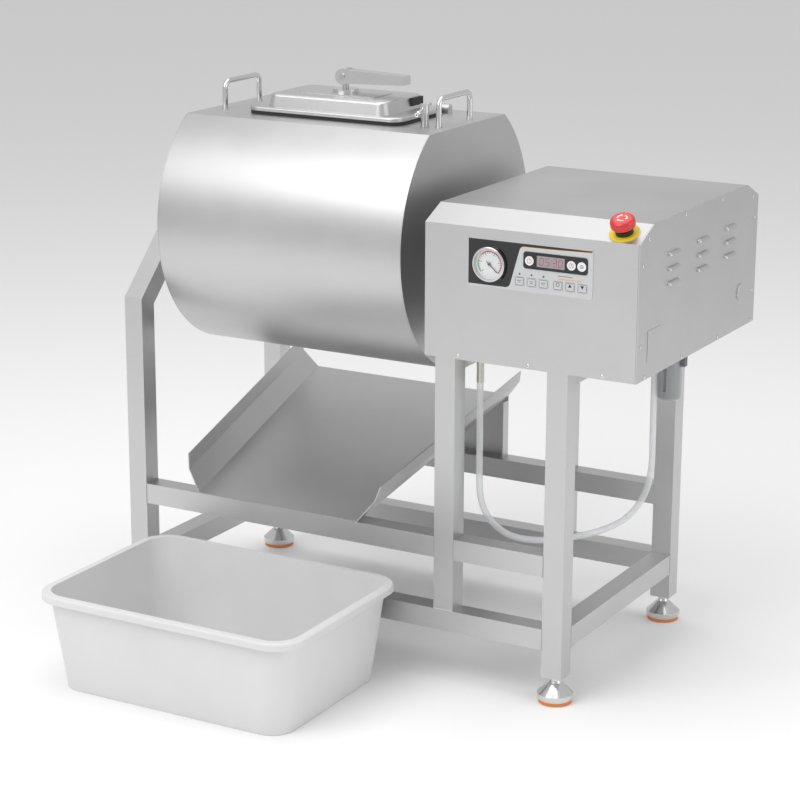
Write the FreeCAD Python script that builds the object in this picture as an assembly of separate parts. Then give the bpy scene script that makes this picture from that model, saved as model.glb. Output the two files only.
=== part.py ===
"""A 50 litre meat vacuum tumbler: tube stand, turning drum with a hatch, drive cabinet, chute and tub.

Machine frame while it is built, in millimetres: X runs along the drum from the left posts, Y runs from
the front of the legs to the back, Z runs up from the floor. The finished pieces are then moved so that
the origin is at the bottom centre of the whole machine.
"""
import FreeCAD, Part
import math
import os

V = FreeCAD.Vector
X_AXIS = V(1, 0, 0)
Y_AXIS = V(0, 1, 0)
Z_AXIS = V(0, 0, 1)

# ---------------------------------------------------------------- driving dimensions
# stand
tube = 38.0                     # square tube, outside
tube_wall = 1.5
stand_length = 900.0            # left face of the left posts to right face of the right legs
stand_depth = 508.0             # front face to back face of the legs
leg_bottom = 47.0               # the levelling feet fill the height below
post_bend_height = 620.0        # where the left posts lean inwards
upper_rail_top = 267.0
lower_rail_top = 134.0
mid_post_left = 650.0           # left face of the posts under the cabinet's left end
leg_top = 606.0                 # the cabinet's base plate lies on this level
# levelling feet
foot_stud_radius = 6.0
foot_disc_radius = 31.5
foot_pad_height = 6.0
foot_cone_height = 40.0
leg_plug_height = 12.0
thread_clearance = 0.05
# drum
drum_left = 70.0
drum_length = 505.0
drum_radius = 244.0
drum_wall = 2.0
drum_end_wall = 3.0
shaft_height = 752.0
deck_height = 198.0             # the drum's flat top, above the axis
baffle_height = 55.0
baffle_wall = 3.0
# drum shafts and bearings
journal_radius = 15.0
shaft_radius = 17.5
shaft_bore_radius = 10.0
hub_radius = 60.0
hub_height = 10.0
bearing_clearance = 0.05
shaft_end = 872.0               # right end of the hollow shaft
# hatch
collar_length = 260.0
collar_width = 130.0
collar_wall = 5.0
collar_rise = 3.0
collar_drop = 14.0
flange_length = 322.0
flange_width = 178.0
flange_corner = 26.0
flange_wall = 9.0
seal_height = 5.0
seal_width = 20.0
dome_length = 252.0
dome_width = 152.0
dome_height = 23.5
dome_draft = 5.0
lid_wall = 2.0
moving_gap = 0.3                # left between pieces that move against each other
hinge_set_back = 10.0           # hinge axis behind the flange's back edge
hinge_height = 9.0              # hinge axis above the deck
hinge_radius = 8.0
hinge_pin_radius = 4.0
hinge_knuckle = 16.0            # length of one end knuckle
lid_knuckle = 40.0
# quick clamp on the lid
clamp_disc_radius = 24.0
clamp_disc_height = 9.0
stud_radius = 6.0
clamp_pin_height = 31.0         # lever pin above the top of the dome
clamp_pin_radius = 4.0
cam_radius = 14.5
lever_width = 28.0
lever_wall = 2.5
lever_reach = 127.0             # pin to the lever's tip
lever_root_height = 24.0
lever_tip_height = 16.0
locking_bar_length = 170.0
locking_bar_width = 30.0
locking_bar_height = 6.0
locking_bar_drop = 34.0         # top of the bar below the deck
# grab handles and vent valve on the deck
handle_tube_radius = 5.0
handle_span = 116.0
handle_rise = 50.0
handle_bend = 14.0
handle_inset = 28.0             # from each end of the drum
vent_inset = 53.0               # from the drum's right end
vent_forward = 64.0             # in front of the drum's axis
vent_post_radius = 7.0
vent_post_height = 24.0
vent_head_radius = 8.0
vent_head_height = 16.0
vent_barb_length = 32.0
vent_barb_radius = 3.6
vent_barb_bore = 1.6
vent_barb_dip = 16.0            # degrees below level
# cabinet
cabinet_left = 630.0
cabinet_right = 1024.0
cabinet_back_overhang = 13.0
cabinet_bottom = 592.0
cabinet_shoulder = 824.0
cabinet_top = 849.0
chamfer_run = 54.0
sheet = 2.0
seam = 0.3
base_lip = 12.0
shaft_hole_radius = 24.0
louvre_length = 48.0
louvre_radius = 6.0
louvre_wall = 1.2
louvre_pitch = 25.0
louvre_top = 785.0
louvre_columns = (138.0, 264.0, 389.0)
screw_head_radius = 3.6
screw_head_height = 1.8
screw_shank_radius = 2.0
screw_reach = 6.0
screw_inset = 14.0
screw_skirt_height = 5.5        # screws above the cabinet's lower edge
plug_y = 448.0                  # plastic plug in the end plate
plug_z = 659.0
plug_radius = 15.0
plug_neck_radius = 11.0
plug_proud = 2.5
blank_plate_y = 39.0            # bare metal plate on the end plate
blank_plate_z = 620.0
blank_plate_size = 53.0
blank_plate_thickness = 0.8
# control panel on the front sheet
panel_left = 713.0
panel_bottom = 724.0
panel_width = 229.0
panel_height = 81.5
film = 0.8
gauge_x = 753.3
gauge_z = 764.0
gauge_radius = 30.0
gauge_body_radius = 27.0
gauge_proud = 8.0
gauge_depth = 38.0
needle_length = 20.0
module_margin = 6.0
module_depth = 16.0
display_left = 816.0
display_width = 117.0
display_bottom = 764.2
display_height = 28.4
display_proud = 2.0
button_radius = 7.8
button_row = 777.6
button_places = (827.3, 903.9, 922.6)
button_travel = 1.0
key_width = 17.0
key_height = 14.5
key_row = 741.0
key_places = (809.0, 831.0, 853.0, 879.4, 901.6, 923.8)
key_travel = 0.6
key_proud = 0.6
key_clearance = 0.3
# emergency stop on the sloping sheet
estop_x = 985.0
estop_up_slope = 27.0
estop_ring_radius = 26.0
estop_ring_height = 1.6
estop_collar_radius = 15.0
estop_collar_height = 9.0
estop_head_radius = 21.0
estop_head_height = 17.0
estop_travel = 4.0
estop_stem_radius = 6.0
estop_block = 30.0
estop_block_depth = 42.0
# drive inside the cabinet
stand_left = 650.0
stand_right = 800.0
stand_half_width = 84.0
stand_wall = 5.0
block_rise = 45.0               # pillow block foot to shaft axis
block_width = 40.0
block_length = 150.0
pulley_left = 815.0
pulley_width = 24.0
large_pulley_radius = 70.0
small_pulley_radius = 35.0
belt_height = 5.0
motor_y = 410.0
motor_z = 690.0
motor_radius = 44.0
motor_left = 648.0
gearhead_left = 752.0
gearhead_right = 802.0
motor_shaft_radius = 9.0
# vacuum line
union_length = 34.0
union_radius = 26.0
pipe_radius = 6.0
pipe_bend = 36.0
fitting_x = 706.0
fitting_y = 60.0
fitting_radius = 8.5
fitting_height = 34.0
filter_x = 957.0
filter_y = 300.0
filter_head_height = 40.0
filter_head_half = 23.0
bowl_radius = 21.5
bowl_length = 76.0
filter_port_offset = 29.0
pump_front = 345.0
pump_left = 890.0
hose_radius = 5.75
# chute under the drum
chute_front_left = 156.0
chute_front_width = 338.0
chute_back_width = 432.0
chute_back_y = 500.0
chute_rise = 122.0
chute_sheet = 2.0
chute_flare_out = 29.0
chute_flare_up = 36.0
chute_lip_out = 6.0
chute_lip_up = 24.0
chute_tab = 20.0
# loose tub in front of the stand
tub_x = 327.0
tub_y = -194.0
tub_rim_length = 530.0
tub_rim_width = 391.0
tub_floor_length = 461.0
tub_floor_width = 329.0
tub_height = 178.0
tub_rim = 12.0
tub_rim_height = 13.0
tub_wall = 3.0
tub_corner = 42.0

# ---------------------------------------------------------------- derived places
drum_right = drum_left + drum_length
drum_middle = drum_left + drum_length / 2
shaft_y = stand_depth / 2
deck_z = shaft_height + deck_height
right_leg_left = stand_length - tube
mid_post_right = mid_post_left + tube
back_leg_front = stand_depth - tube
cabinet_front = -sheet
cabinet_back = stand_depth + cabinet_back_overhang
inner_back = cabinet_back - sheet
base_top = leg_top + sheet
flange_bottom = deck_z + seal_height
flange_top = flange_bottom + flange_wall
dome_top = flange_top + dome_height
hinge_y = shaft_y + flange_width / 2 + hinge_set_back
hinge_z = deck_z + hinge_height
clamp_pin_z = dome_top + clamp_pin_height
lever_front = shaft_y - lever_width / 2
panel_right = panel_left + panel_width
panel_top = panel_bottom + panel_height
slope_length = math.hypot(chamfer_run, cabinet_top - cabinet_shoulder)
slope_along = V(0, chamfer_run / slope_length, (cabinet_top - cabinet_shoulder) / slope_length)
slope_out = V(0, -slope_along.z, slope_along.y)
estop_seat = V(estop_x, cabinet_front, cabinet_shoulder) + slope_along * estop_up_slope
filter_port_x = filter_x - filter_port_offset
filter_head_bottom = leg_top - sheet - filter_head_height
filter_tail_low = filter_head_bottom - 14
fitting_low = leg_top - 32 - fitting_height

pieces = {}


# ---------------------------------------------------------------- small shape helpers
def block(x0, x1, y0, y1, z0, z1):
    """A box given by its low and high places along each axis."""
    return Part.makeBox(x1 - x0, y1 - y0, z1 - z0, V(x0, y0, z0))


def rod(radius, start, direction, length):
    """A round bar."""
    return Part.makeCylinder(radius, length, start, direction)


def sleeve(outer, inner, start, direction, length):
    """A round bar with a bore right through it."""
    return rod(outer, start, direction, length).cut(rod(inner, start - direction, direction, length + 2))


def profile(points):
    """A flat face with straight edges through the points."""
    return Part.Face(Part.makePolygon(points + [points[0]]))


def side_plate(yz_points, x0, x1):
    """A plate or prism whose outline is given in Y and Z."""
    return profile([V(x0, y, z) for y, z in yz_points]).extrude(V(x1 - x0, 0, 0))


def rounded_outline(cx, cy, length, width, corner, z):
    """A closed rounded rectangle in a level plane."""
    hx = length / 2
    hy = width / 2
    k = corner * (1 - math.sqrt(0.5))
    edges = []
    for sx, sy, first_is_x in ((1, -1, True), (1, 1, False), (-1, 1, True), (-1, -1, False)):
        along_x = V(cx + sx * (hx - corner), cy + sy * hy, z)
        along_y = V(cx + sx * hx, cy + sy * (hy - corner), z)
        middle = V(cx + sx * (hx - k), cy + sy * (hy - k), z)
        start, end = (along_x, along_y) if first_is_x else (along_y, along_x)
        edges.append((start, middle, end))
    wire = []
    for number, (start, middle, end) in enumerate(edges):
        wire.append(Part.Arc(start, middle, end).toShape())
        wire.append(Part.LineSegment(end, edges[(number + 1) % 4][0]).toShape())
    return Part.Wire(wire)


def rounded_slab(cx, cy, length, width, corner, z0, z1):
    """A level slab with rounded corners."""
    return Part.Face(rounded_outline(cx, cy, length, width, corner, z0)).extrude(V(0, 0, z1 - z0))


def rounded_loft(cx, cy, low, high):
    """A tapered block between two rounded rectangles, each (length, width, corner, z)."""
    wires = [rounded_outline(cx, cy, *low), rounded_outline(cx, cy, *high)]
    return Part.makeLoft(wires, True, True)


def upright(x, y, z0, z1, wall=tube_wall):
    """A square tube standing on end, its low corner at x, y."""
    outside = block(x, x + tube, y, y + tube, z0, z1)
    return outside.cut(block(x + wall, x + tube - wall, y + wall, y + tube - wall, z0 - 1, z1 + 1))


def rail_x(x0, x1, y, top):
    """A square tube along X with its top at the given height."""
    outside = block(x0, x1, y, y + tube, top - tube, top)
    inside = block(x0 - 1, x1 + 1, y + tube_wall, y + tube - tube_wall, top - tube + tube_wall, top - tube_wall)
    return outside.cut(inside)


def rail_y(x, y0, y1, top):
    """A square tube along Y with its top at the given height."""
    outside = block(x, x + tube, y0, y1, top - tube, top)
    inside = block(x + tube_wall, x + tube - tube_wall, y0 - 1, y1 + 1, top - tube + tube_wall, top - tube_wall)
    return outside.cut(inside)


def leg_end(x, y):
    """The welded nut plate that closes a leg's lower end and takes the levelling stud."""
    inset = tube_wall
    plate = block(x + inset, x + tube - inset, y + inset, y + tube - inset, leg_bottom, leg_bottom + leg_plug_height)
    bore = rod(foot_stud_radius + thread_clearance, V(x + tube / 2, y + tube / 2, leg_bottom - 1), Z_AXIS,
               leg_plug_height + 2)
    return plate.cut(bore)


def bent_path(points, radius):
    """Straight runs through the points, joined by arcs of one radius."""
    edges = []
    here = points[0]
    for before, corner, after in zip(points, points[1:], points[2:]):
        back = (before - corner).normalize()
        ahead = (after - corner).normalize()
        half_turn = (math.pi - back.getAngle(ahead)) / 2
        setback = radius * math.tan(half_turn)
        start = corner + back * setback
        end = corner + ahead * setback
        inward = (back + ahead).normalize()
        centre = corner + inward * (radius / math.cos(half_turn))
        edges.append(Part.LineSegment(here, start).toShape())
        edges.append(Part.Arc(start, centre - inward * radius, end).toShape())
        here = end
    edges.append(Part.LineSegment(here, points[-1]).toShape())
    return Part.Wire(edges)


def pipe_along(path, radius):
    """A solid round bar swept along a path of lines and arcs."""
    first = path.OrderedEdges[0]
    start = first.valueAt(first.FirstParameter)
    direction = first.tangentAt(first.FirstParameter)
    section = Part.Wire(Part.makeCircle(radius, start, direction))
    return path.makePipeShell([section], True, False)


def drum_profile(radius, flat):
    """Outline of the drum across its axis: a circle cut off by the flat top, at X = 0."""
    half = math.sqrt(radius * radius - flat * flat)
    left = V(0, shaft_y - half, shaft_height + flat)
    right = V(0, shaft_y + half, shaft_height + flat)
    bottom = V(0, shaft_y, shaft_height - radius)
    arc = Part.Arc(left, bottom, right).toShape()
    top = Part.LineSegment(right, left).toShape()
    return Part.Face(Part.Wire([arc, top]))


def drum_slice(radius, flat, x0, x1):
    """A length of the drum's outline."""
    face = drum_profile(radius, flat)
    face.translate(V(x0, 0, 0))
    return face.extrude(V(x1 - x0, 0, 0))


# ---------------------------------------------------------------- the stand
def leaning_post(front):
    """A left post: upright, then leaning inwards to the bearing crossbar with mitred ends."""
    mitre = tube * math.tan(math.radians(22.5))
    crossbar_top = shaft_height + tube / 2
    rise = crossbar_top - post_bend_height

    def outline(inset, low):
        cut = inset * math.tan(math.radians(22.5))
        return [
            (inset, low),
            (tube - inset, low),
            (tube - inset, post_bend_height - mitre + cut),
            (rise + mitre - cut, crossbar_top - tube + inset),
            (rise + cut, crossbar_top - inset),
            (inset, post_bend_height - cut),
        ]

    outside = side_plate(outline(0, leg_bottom), 0, tube)
    inside = side_plate(outline(tube_wall, leg_bottom - 1), tube_wall, tube - tube_wall)
    post = outside.cut(inside).fuse(leg_end(0, 0)).removeSplitter()
    if front:
        return post
    return post.mirror(V(0, shaft_y, 0), Y_AXIS)


def crossbar():
    """The short tube between the leaning posts, bored for the drum's left journal."""
    mitre = tube * math.tan(math.radians(22.5))
    top = shaft_height + tube / 2
    low = top - tube
    start = top - post_bend_height
    bar = side_plate([(start, top), (stand_depth - start, top), (stand_depth - start - mitre, low),
                      (start + mitre, low)], 0, tube)
    inside = block(tube_wall, tube - tube_wall, start, stand_depth - start, low + tube_wall, top - tube_wall)
    bore = rod(journal_radius + 2, V(-1, shaft_y, shaft_height), X_AXIS, tube + 2)
    return bar.cut(inside).cut(bore)


def build_stand():
    pieces["left_frame"] = [leaning_post(True), leaning_post(False), crossbar()]
    posts = []
    for y in (0.0, back_leg_front):
        leg = upright(right_leg_left, y, leg_bottom, leg_top)
        posts.append(leg.fuse(leg_end(right_leg_left, y)).removeSplitter())
        posts.append(upright(mid_post_left, y, lower_rail_top, leg_top))
    pieces["cabinet_posts"] = posts
    rails = []
    for y in (0.0, back_leg_front):
        rails.append(rail_x(tube, mid_post_left, y, upper_rail_top))
        rails.append(rail_x(mid_post_right, right_leg_left, y, upper_rail_top))
        rails.append(rail_x(tube, right_leg_left, y, lower_rail_top))
    for x in (0.0, right_leg_left):
        rails.append(rail_y(x, tube, back_leg_front, lower_rail_top))
    for x in (mid_post_left, right_leg_left):
        rails.append(rail_y(x, tube, back_leg_front, leg_top))
    pieces["stand_rails"] = rails


def build_feet():
    discs = []
    pads = []
    rim = foot_disc_radius
    disc_low = foot_pad_height
    top = foot_cone_height
    stud_top = leg_bottom + leg_plug_height + 8
    for x in (0.0, right_leg_left):
        for y in (0.0, back_leg_front):
            centre = V(x + tube / 2, y + tube / 2, 0)
            outline = [V(0, 0, disc_low), V(rim - 2, 0, disc_low), V(rim, 0, disc_low + 4), V(rim, 0, disc_low + 11),
                       V(11, 0, top - 4), V(9, 0, top), V(9, 0, leg_bottom), V(foot_stud_radius, 0, leg_bottom),
                       V(foot_stud_radius, 0, stud_top), V(0, 0, stud_top)]
            disc = profile(outline).revolve(V(0, 0, 0), Z_AXIS, 360)
            disc.translate(centre)
            discs.append(disc)
            pads.append(rod(rim - 2.5, centre, Z_AXIS, foot_pad_height))
    pieces["foot_discs"] = discs
    pieces["foot_pads"] = pads


# ---------------------------------------------------------------- drum
def build_drum():
    hatch_hole = rounded_slab(drum_middle, shaft_y, collar_length, collar_width, 20, deck_z - 20, deck_z + 20)
    shell_left = drum_left + drum_end_wall
    shell_right = drum_right - drum_end_wall
    shell = drum_slice(drum_radius, deck_height, shell_left, shell_right)
    hollow = drum_slice(drum_radius - drum_wall, deck_height - drum_wall, shell_left - 1, shell_right + 1)
    pieces["drum_shell"] = [shell.cut(hollow).cut(hatch_hole)]
    left_end = drum_slice(drum_radius, deck_height, drum_left, shell_left)
    right_end = drum_slice(drum_radius, deck_height, shell_right, drum_right)
    bore = rod(shaft_radius, V(shell_right - 1, shaft_y, shaft_height), X_AXIS, drum_end_wall + 2)
    pieces["drum_end_plates"] = [left_end, right_end.cut(bore)]

    collar = rounded_slab(drum_middle, shaft_y, collar_length, collar_width, 20,
                          deck_z - collar_drop, deck_z + collar_rise)
    mouth = rounded_slab(drum_middle, shaft_y, collar_length - 2 * collar_wall, collar_width - 2 * collar_wall,
                         20 - collar_wall, deck_z - collar_drop - 1, deck_z + collar_rise + 1)
    pieces["hatch_collar"] = [collar.cut(mouth)]

    baffles = []
    for angle in (-30, -90, -150):
        root = drum_radius - drum_wall
        plate = block(shell_left + 10, shell_right - 10, -baffle_wall / 2, baffle_wall / 2, -root, -root + baffle_height)
        plate = plate.common(rod(root, V(shell_left, 0, 0), X_AXIS, drum_length))
        plate.rotate(V(0, 0, 0), X_AXIS, angle + 90)
        plate.translate(V(0, shaft_y, shaft_height))
        baffles.append(plate)
    pieces["drum_baffles"] = baffles

    handles = []
    for x in (drum_left + handle_inset, drum_right - handle_inset):
        y0 = shaft_y - handle_span / 2
        y1 = shaft_y + handle_span / 2
        top = deck_z + handle_rise
        path = bent_path([V(x, y0, deck_z), V(x, y0, top), V(x, y1, top), V(x, y1, deck_z)], handle_bend)
        handles.append(pipe_along(path, handle_tube_radius))
    pieces["grab_handles"] = handles


def build_drum_shafts():
    hub = rod(hub_radius, V(drum_left - hub_height, shaft_y, shaft_height), X_AXIS, hub_height)
    journal = rod(journal_radius, V(8, shaft_y, shaft_height), X_AXIS, drum_left - 8)
    journal = hub.fuse(journal).removeSplitter()
    shaft = rod(shaft_radius, V(drum_right - 8, shaft_y, shaft_height), X_AXIS, shaft_end - drum_right + 8)
    flange = rod(hub_radius, V(drum_right, shaft_y, shaft_height), X_AXIS, hub_height)
    bore = rod(shaft_bore_radius, V(drum_right - 9, shaft_y, shaft_height), X_AXIS, shaft_end - drum_right + 10)
    pieces["drum_shafts"] = [journal, shaft.fuse(flange).cut(bore).removeSplitter()]


def build_vent_valve():
    x = drum_right - vent_inset
    y = shaft_y - vent_forward
    pin_height = 12.0
    post = rod(vent_post_radius, V(x, y, deck_z), Z_AXIS, vent_post_height)
    spigot = rod(3.0, V(x, y, deck_z + vent_post_height), Z_AXIS, pin_height)
    pieces["vent_valve_post"] = [post.fuse(spigot).removeSplitter()]
    low = deck_z + vent_post_height + moving_gap
    head = rod(vent_head_radius, V(x, y, low), Z_AXIS, vent_head_height)
    dip = math.radians(vent_barb_dip)
    aim = V(0, -math.cos(dip), -math.sin(dip))
    start = V(x, y, low + vent_head_height - 7)
    barb = rod(vent_barb_radius, start, aim, vent_barb_length)
    ring = Part.makeCone(vent_barb_radius + 1.2, vent_barb_radius - 0.8, 7, start + aim * (vent_barb_length - 7), aim)
    bore = rod(vent_barb_bore, start + aim * (vent_barb_length - 12), aim, 20)
    socket = rod(3.0 + bearing_clearance, V(x, y, low - 1), Z_AXIS, pin_height + 1.3)
    pieces["vent_valve_head"] = [head.fuse([barb, ring]).cut(bore).cut(socket).removeSplitter()]


# ---------------------------------------------------------------- hatch lid and its clamp
def build_lid():
    seal = rounded_slab(drum_middle, shaft_y, flange_length - 2, flange_width - 2, flange_corner - 1,
                        deck_z + moving_gap, flange_bottom)
    seal_hole = rounded_slab(drum_middle, shaft_y, flange_length - 2 - 2 * seal_width,
                             flange_width - 2 - 2 * seal_width, 12, deck_z, flange_bottom + 1)
    pieces["lid_seal"] = [seal.cut(seal_hole)]

    flange = rounded_slab(drum_middle, shaft_y, flange_length, flange_width, flange_corner, flange_bottom, flange_top)
    flange = flange.makeFillet(3.5, [e for e in flange.Edges if abs(e.BoundBox.ZMin - e.BoundBox.ZMax) < 0.01])
    dome = rounded_loft(drum_middle, shaft_y, (dome_length, dome_width, 20, flange_top - 1),
                        (dome_length - 2 * dome_draft, dome_width - 2 * dome_draft, 16, dome_top))
    dome = dome.makeFillet(6.0, [e for e in dome.Edges if e.BoundBox.ZMin > dome_top - 0.01])
    hollow = rounded_loft(drum_middle, shaft_y,
                          (dome_length - 2 * lid_wall, dome_width - 2 * lid_wall, 18, flange_bottom - 1),
                          (dome_length - 2 * dome_draft - 2 * lid_wall, dome_width - 2 * dome_draft - 2 * lid_wall,
                           14, dome_top - lid_wall))
    boss_low = deck_z + collar_rise + 2
    boss = rod(stud_radius + 6, V(drum_middle, shaft_y, boss_low), Z_AXIS, dome_top - boss_low)
    bore = rod(stud_radius + bearing_clearance, V(drum_middle, shaft_y, boss_low - 1), Z_AXIS,
               dome_top - boss_low + 4)
    emboss = rounded_slab(drum_middle, shaft_y, 156, 76, 6, dome_top - 0.5, dome_top + 1.5)
    lid = flange.fuse(dome).cut(hollow).fuse([boss, emboss]).cut(bore)
    first = drum_middle - flange_length / 2 + 40
    second = drum_middle + flange_length / 2 - 40 - lid_knuckle
    for x in (first, second):
        knuckle = rod(hinge_radius, V(x, hinge_y, hinge_z), X_AXIS, lid_knuckle)
        tongue = block(x, x + lid_knuckle, hinge_y - hinge_set_back - 4, hinge_y - 3, flange_bottom + 1, flange_top - 1)
        lid = lid.fuse([knuckle, tongue])
        lid = lid.cut(rod(hinge_pin_radius + bearing_clearance, V(x - 1, hinge_y, hinge_z), X_AXIS, lid_knuckle + 2))
    pieces["hatch_lid"] = [lid.removeSplitter()]

    stop_x = drum_middle + dome_length / 2 - dome_draft / 2
    stop = block(stop_x - 2, stop_x + 4.5, shaft_y + 20, shaft_y + 60, dome_top - 17, dome_top - 3)
    pieces["lid_stop"] = [stop.cut(pieces["hatch_lid"][0])]

    disc = sleeve(clamp_disc_radius, stud_radius + bearing_clearance, V(drum_middle, shaft_y, dome_top + 1.5),
                  Z_AXIS, clamp_disc_height - 1.5)
    pieces["clamp_disc"] = [disc]


def build_hinge():
    brackets = []
    first = drum_middle - flange_length / 2 - 2
    second = drum_middle + flange_length / 2 + 2 - hinge_knuckle
    for x in (first, second):
        eye = rod(hinge_radius, V(x, hinge_y, hinge_z), X_AXIS, hinge_knuckle)
        foot = block(x, x + hinge_knuckle, hinge_y - hinge_radius, hinge_y + hinge_radius, deck_z, hinge_z)
        bore = rod(hinge_pin_radius, V(x - 1, hinge_y, hinge_z), X_AXIS, hinge_knuckle + 2)
        brackets.append(eye.fuse(foot).cut(bore).removeSplitter())
    pieces["hinge_brackets"] = brackets
    pieces["hinge_pin"] = [rod(hinge_pin_radius, V(first, hinge_y, hinge_z), X_AXIS,
                               second + hinge_knuckle - first)]


def build_clamp():
    bar_top = deck_z - locking_bar_drop
    stud = rod(stud_radius, V(drum_middle, shaft_y, bar_top), Z_AXIS, clamp_pin_z - 8 - bar_top)
    bar = rounded_slab(drum_middle, shaft_y, locking_bar_length, locking_bar_width, 12,
                       bar_top - locking_bar_height, bar_top)
    eye_half = lever_width / 2 - lever_wall - moving_gap
    eye = rod(9.0, V(drum_middle, shaft_y - eye_half, clamp_pin_z), Y_AXIS, 2 * eye_half)
    bore = rod(clamp_pin_radius + bearing_clearance, V(drum_middle, lever_front - 1, clamp_pin_z), Y_AXIS,
               lever_width + 2)
    pieces["clamp_stud"] = [stud.fuse([bar, eye]).cut(bore).removeSplitter()]

    tip = drum_middle + lever_reach
    root = drum_middle + cam_radius
    middle = clamp_pin_z + 0.5
    back = shaft_y + lever_width / 2
    outline = [V(root, lever_front, middle - lever_root_height / 2), V(tip, lever_front, middle - lever_tip_height / 2),
               V(tip, lever_front, middle + lever_tip_height / 2), V(root, lever_front, middle + lever_root_height / 2)]
    grip = profile(outline).extrude(V(0, lever_width, 0))
    inner = block(root - 1, tip - lever_wall, lever_front + lever_wall, back - lever_wall,
                  middle - lever_root_height, middle + lever_tip_height / 2 - lever_wall)
    grip = grip.cut(inner)
    cheeks = []
    for y in (lever_front, back - lever_wall):
        cheeks.append(rod(cam_radius, V(drum_middle, y, clamp_pin_z), Y_AXIS, lever_wall))
        cheeks.append(block(drum_middle, root + 2, y, y + lever_wall, middle - lever_root_height / 2,
                            middle + lever_root_height / 2))
    bore = rod(clamp_pin_radius, V(drum_middle, lever_front - 1, clamp_pin_z), Y_AXIS, lever_width + 2)
    pieces["clamp_lever"] = [grip.fuse(cheeks).cut(bore).removeSplitter()]
    pin = rod(clamp_pin_radius, V(drum_middle, lever_front, clamp_pin_z), Y_AXIS, lever_width)
    heads = [rod(clamp_pin_radius + 2, V(drum_middle, lever_front - 1.5, clamp_pin_z), Y_AXIS, 1.5),
             rod(clamp_pin_radius + 2, V(drum_middle, back, clamp_pin_z), Y_AXIS, 1.5)]
    pieces["clamp_pin"] = [pin.fuse(heads).removeSplitter()]


# ---------------------------------------------------------------- cabinet
def cabinet_outline(inset, low):
    """The cabinet's end outline in Y and Z, set in by a wall."""
    cut = inset * (slope_length - chamfer_run) / (cabinet_top - cabinet_shoulder)
    drop = inset * (slope_length - (cabinet_top - cabinet_shoulder)) / chamfer_run
    front = cabinet_front + inset
    back = cabinet_back - inset
    return [
        (front, low),
        (front, cabinet_shoulder - cut),
        (cabinet_front + chamfer_run + drop, cabinet_top - inset),
        (cabinet_back - chamfer_run - drop, cabinet_top - inset),
        (back, cabinet_shoulder - cut),
        (back, low),
    ]


def screw(place, direction):
    """A pan head screw whose head lies on the place and whose shank goes in along the direction."""
    head = rod(screw_head_radius, place, -direction, screw_head_height)
    crown = [e for e in head.Edges if abs((e.CenterOfMass - place).dot(direction) + screw_head_height) < 0.01]
    return head.makeFillet(1.0, crown).fuse(rod(screw_shank_radius, place, direction, screw_reach)).removeSplitter()


def side_screw_places():
    """Where the twelve screws hold the right end plate, as (y, z)."""
    low = cabinet_bottom + screw_skirt_height
    front = cabinet_front + screw_inset
    back = cabinet_back - screw_inset
    depth = cabinet_back - cabinet_front
    places = [(cabinet_front + depth * share, low) for share in (0.06, 0.36, 0.67, 0.97)]
    places += [(cabinet_front + depth * share, cabinet_top - 5.5) for share in (0.36, 0.67)]
    places += [(front + 22, cabinet_shoulder + 4), (back - 12, cabinet_shoulder + 1)]
    places += [(front, z) for z in (cabinet_bottom + 61, cabinet_shoulder - 37)]
    places += [(back, z) for z in (cabinet_bottom + 61, cabinet_shoulder - 37)]
    return places


def skirt_screw_places():
    """X of the screws along the front and back skirts."""
    return (695.0, 827.5, 963.0)


def louvre(y, z):
    """One pressed louvre hood, open underneath."""
    def hood(radius):
        straight = louvre_length - 2 * louvre_radius
        body = rod(radius, V(cabinet_right, y - straight / 2, z), Y_AXIS, straight)
        ends = [Part.makeSphere(radius, V(cabinet_right, y + side * straight / 2, z)) for side in (-1, 1)]
        return body.fuse(ends)
    keep = block(cabinet_right - 0.5, cabinet_right + louvre_radius + 1, y - louvre_length, y + louvre_length,
                 z, z + louvre_radius + 1)
    return hood(louvre_radius).cut(hood(louvre_radius - louvre_wall)).common(keep)


def louvre_slot(y, z):
    """The slit in the sheet behind a louvre hood."""
    half = louvre_length / 2 - louvre_radius
    return block(cabinet_right - sheet - 1, cabinet_right + 1, y - half, y + half, z + 0.5, z + louvre_radius - 2)


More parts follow.
